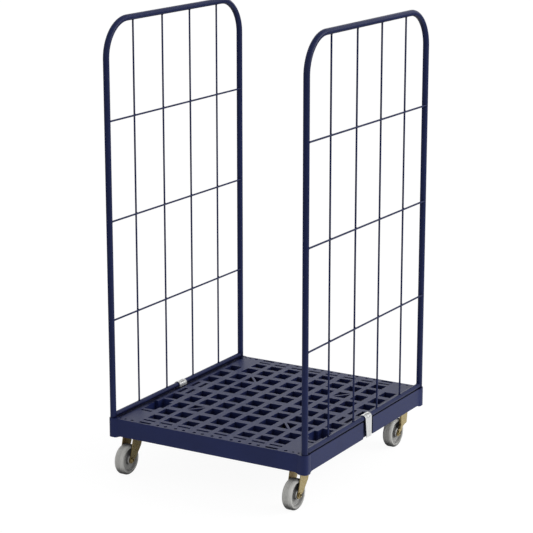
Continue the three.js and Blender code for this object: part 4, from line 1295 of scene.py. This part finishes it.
def build_floor():
    """A floor that the camera sees run out into the white. What it gives back to the object is a weaker painted
    glow, brighter towards one side, fading out away from the base, with a painted shadow under the base.
    """
    bm = bmesh.new()
    bmesh.ops.create_circle(bm, cap_ends=True, segments=96, radius=FLOOR_RADIUS)
    floor = link("studio_floor", mesh_of("studio_floor", bm, normals=False))
    floor.location.z = -FLOOR_DROP
    material = bpy.data.materials.new("studio_floor")
    tree = cleared_tree(material)
    glow = add_node(tree, "ShaderNodeEmission", {"Strength": FLOOR_GLOW})
    matt = add_node(tree, "ShaderNodeBsdfDiffuse", {"Color": FLOOR_TONE})
    seen = add_node(tree, "ShaderNodeAddShader", {0: glow.outputs[0], 1: matt.outputs[0]})

    # Painted shadow of the base, and a painted pool of glow round it, on what the floor gives back
    place = object_place(tree)
    sides = vector_maths(tree, "ABSOLUTE", {0: place})[0]
    beyond = vector_maths(tree, "SUBTRACT", {0: sides, 1: cad_high})[0]
    split = add_node(tree, "ShaderNodeSeparateXYZ", {0: beyond})
    reach = maths(tree, "MAXIMUM", split.outputs["X"], split.outputs["Y"])
    near = ramp(tree, reach, *FLOOR_POOL, 1.0, FLOOR_FAR)
    clear = maths(tree, "MULTIPLY", ramp(tree, reach, *FLOOR_SHADE, FLOOR_UNDER, 1.0), near)

    # Painted reflection of the floor, brighter towards the brighter side
    mirrored = ramp(tree, along(tree, place, SKY_LEAN), *FLOOR_SPREAD, *FLOOR_MIRRORED)
    path = add_node(tree, "ShaderNodeLightPath").outputs
    given = add_node(tree, "ShaderNodeMix", {0: path["Is Glossy Ray"], 2: FLOOR_BOUNCE, 3: mirrored},
                     data_type="FLOAT")
    strength = maths(tree, "MULTIPLY", given.outputs[0], clear)
    mirror = add_node(tree, "ShaderNodeEmission", {"Strength": strength})
    choice = add_node(tree, "ShaderNodeMixShader", {
        0: path["Is Camera Ray"], 1: mirror.outputs[0], 2: seen.outputs[0]})
    add_node(tree, "ShaderNodeOutputMaterial", {"Surface": choice.outputs[0]})
    floor.data.materials.append(material)


def build_surroundings():
    """Soft light from all round, brighter low down and towards the back right, on a white background."""
    world = bpy.data.worlds.new("studio")
    bpy.context.scene.world = world
    tree = cleared_tree(world)
    direction = add_node(tree, "ShaderNodeTexCoord").outputs["Generated"]
    path = add_node(tree, "ShaderNodeLightPath").outputs
    matt = ramp(tree, along(tree, direction, SKY_LEAN), *SKY_SPREAD, *SKY_AROUND)
    sheen = ramp(tree, along(tree, direction, SHEEN_LEAN), *SHEEN_SPREAD, *SHEEN_AROUND)
    around = add_node(tree, "ShaderNodeMix", {0: path["Is Glossy Ray"], 2: matt, 3: sheen}, data_type="FLOAT")
    split = add_node(tree, "ShaderNodeSeparateXYZ", {0: direction})
    upward = ramp(tree, split.outputs["Z"], 0.0, 1.0, *SKY_UPWARD)
    soft = maths(tree, "MULTIPLY", around.outputs[0], upward)
    strength = add_node(tree, "ShaderNodeMix", {0: path["Is Camera Ray"], 2: soft, 3: SKY_SEEN},
                        data_type="FLOAT")
    sky = add_node(tree, "ShaderNodeBackground", {"Strength": strength.outputs[0]})
    add_node(tree, "ShaderNodeOutputWorld", {"Surface": sky.outputs[0]})


def build_softbox():
    data = bpy.data.lights.new("key_softbox", "AREA")
    data.shape = "SQUARE"
    data.size = SOFTBOX_SIZE
    data.energy = SOFTBOX_POWER
    light = link("key_softbox", data)
    light.location = SOFTBOX_PLACE
    aim = (cad_low + cad_high) / 2 - Vector(SOFTBOX_PLACE)
    light.rotation_euler = aim.to_track_quat("-Z", "Y").to_euler()


bpy.context.scene.view_settings.view_transform = "Standard"
build_camera()
build_floor()
build_surroundings()
build_softbox()
build_deck()
for side in SIDES:
    panel = Panel(side)
    build_panel_frame(panel)
    build_bottom_tube(panel)
    build_wires(panel)
    build_clip(panel)
for label in CASTORS:
    castor = Castor(label)
    if castor.swivels:
        build_swivel_head(castor)
        build_fork(castor)
    else:
        build_fixed_bracket(castor)
    build_wheel(castor)
    build_axle(castor)
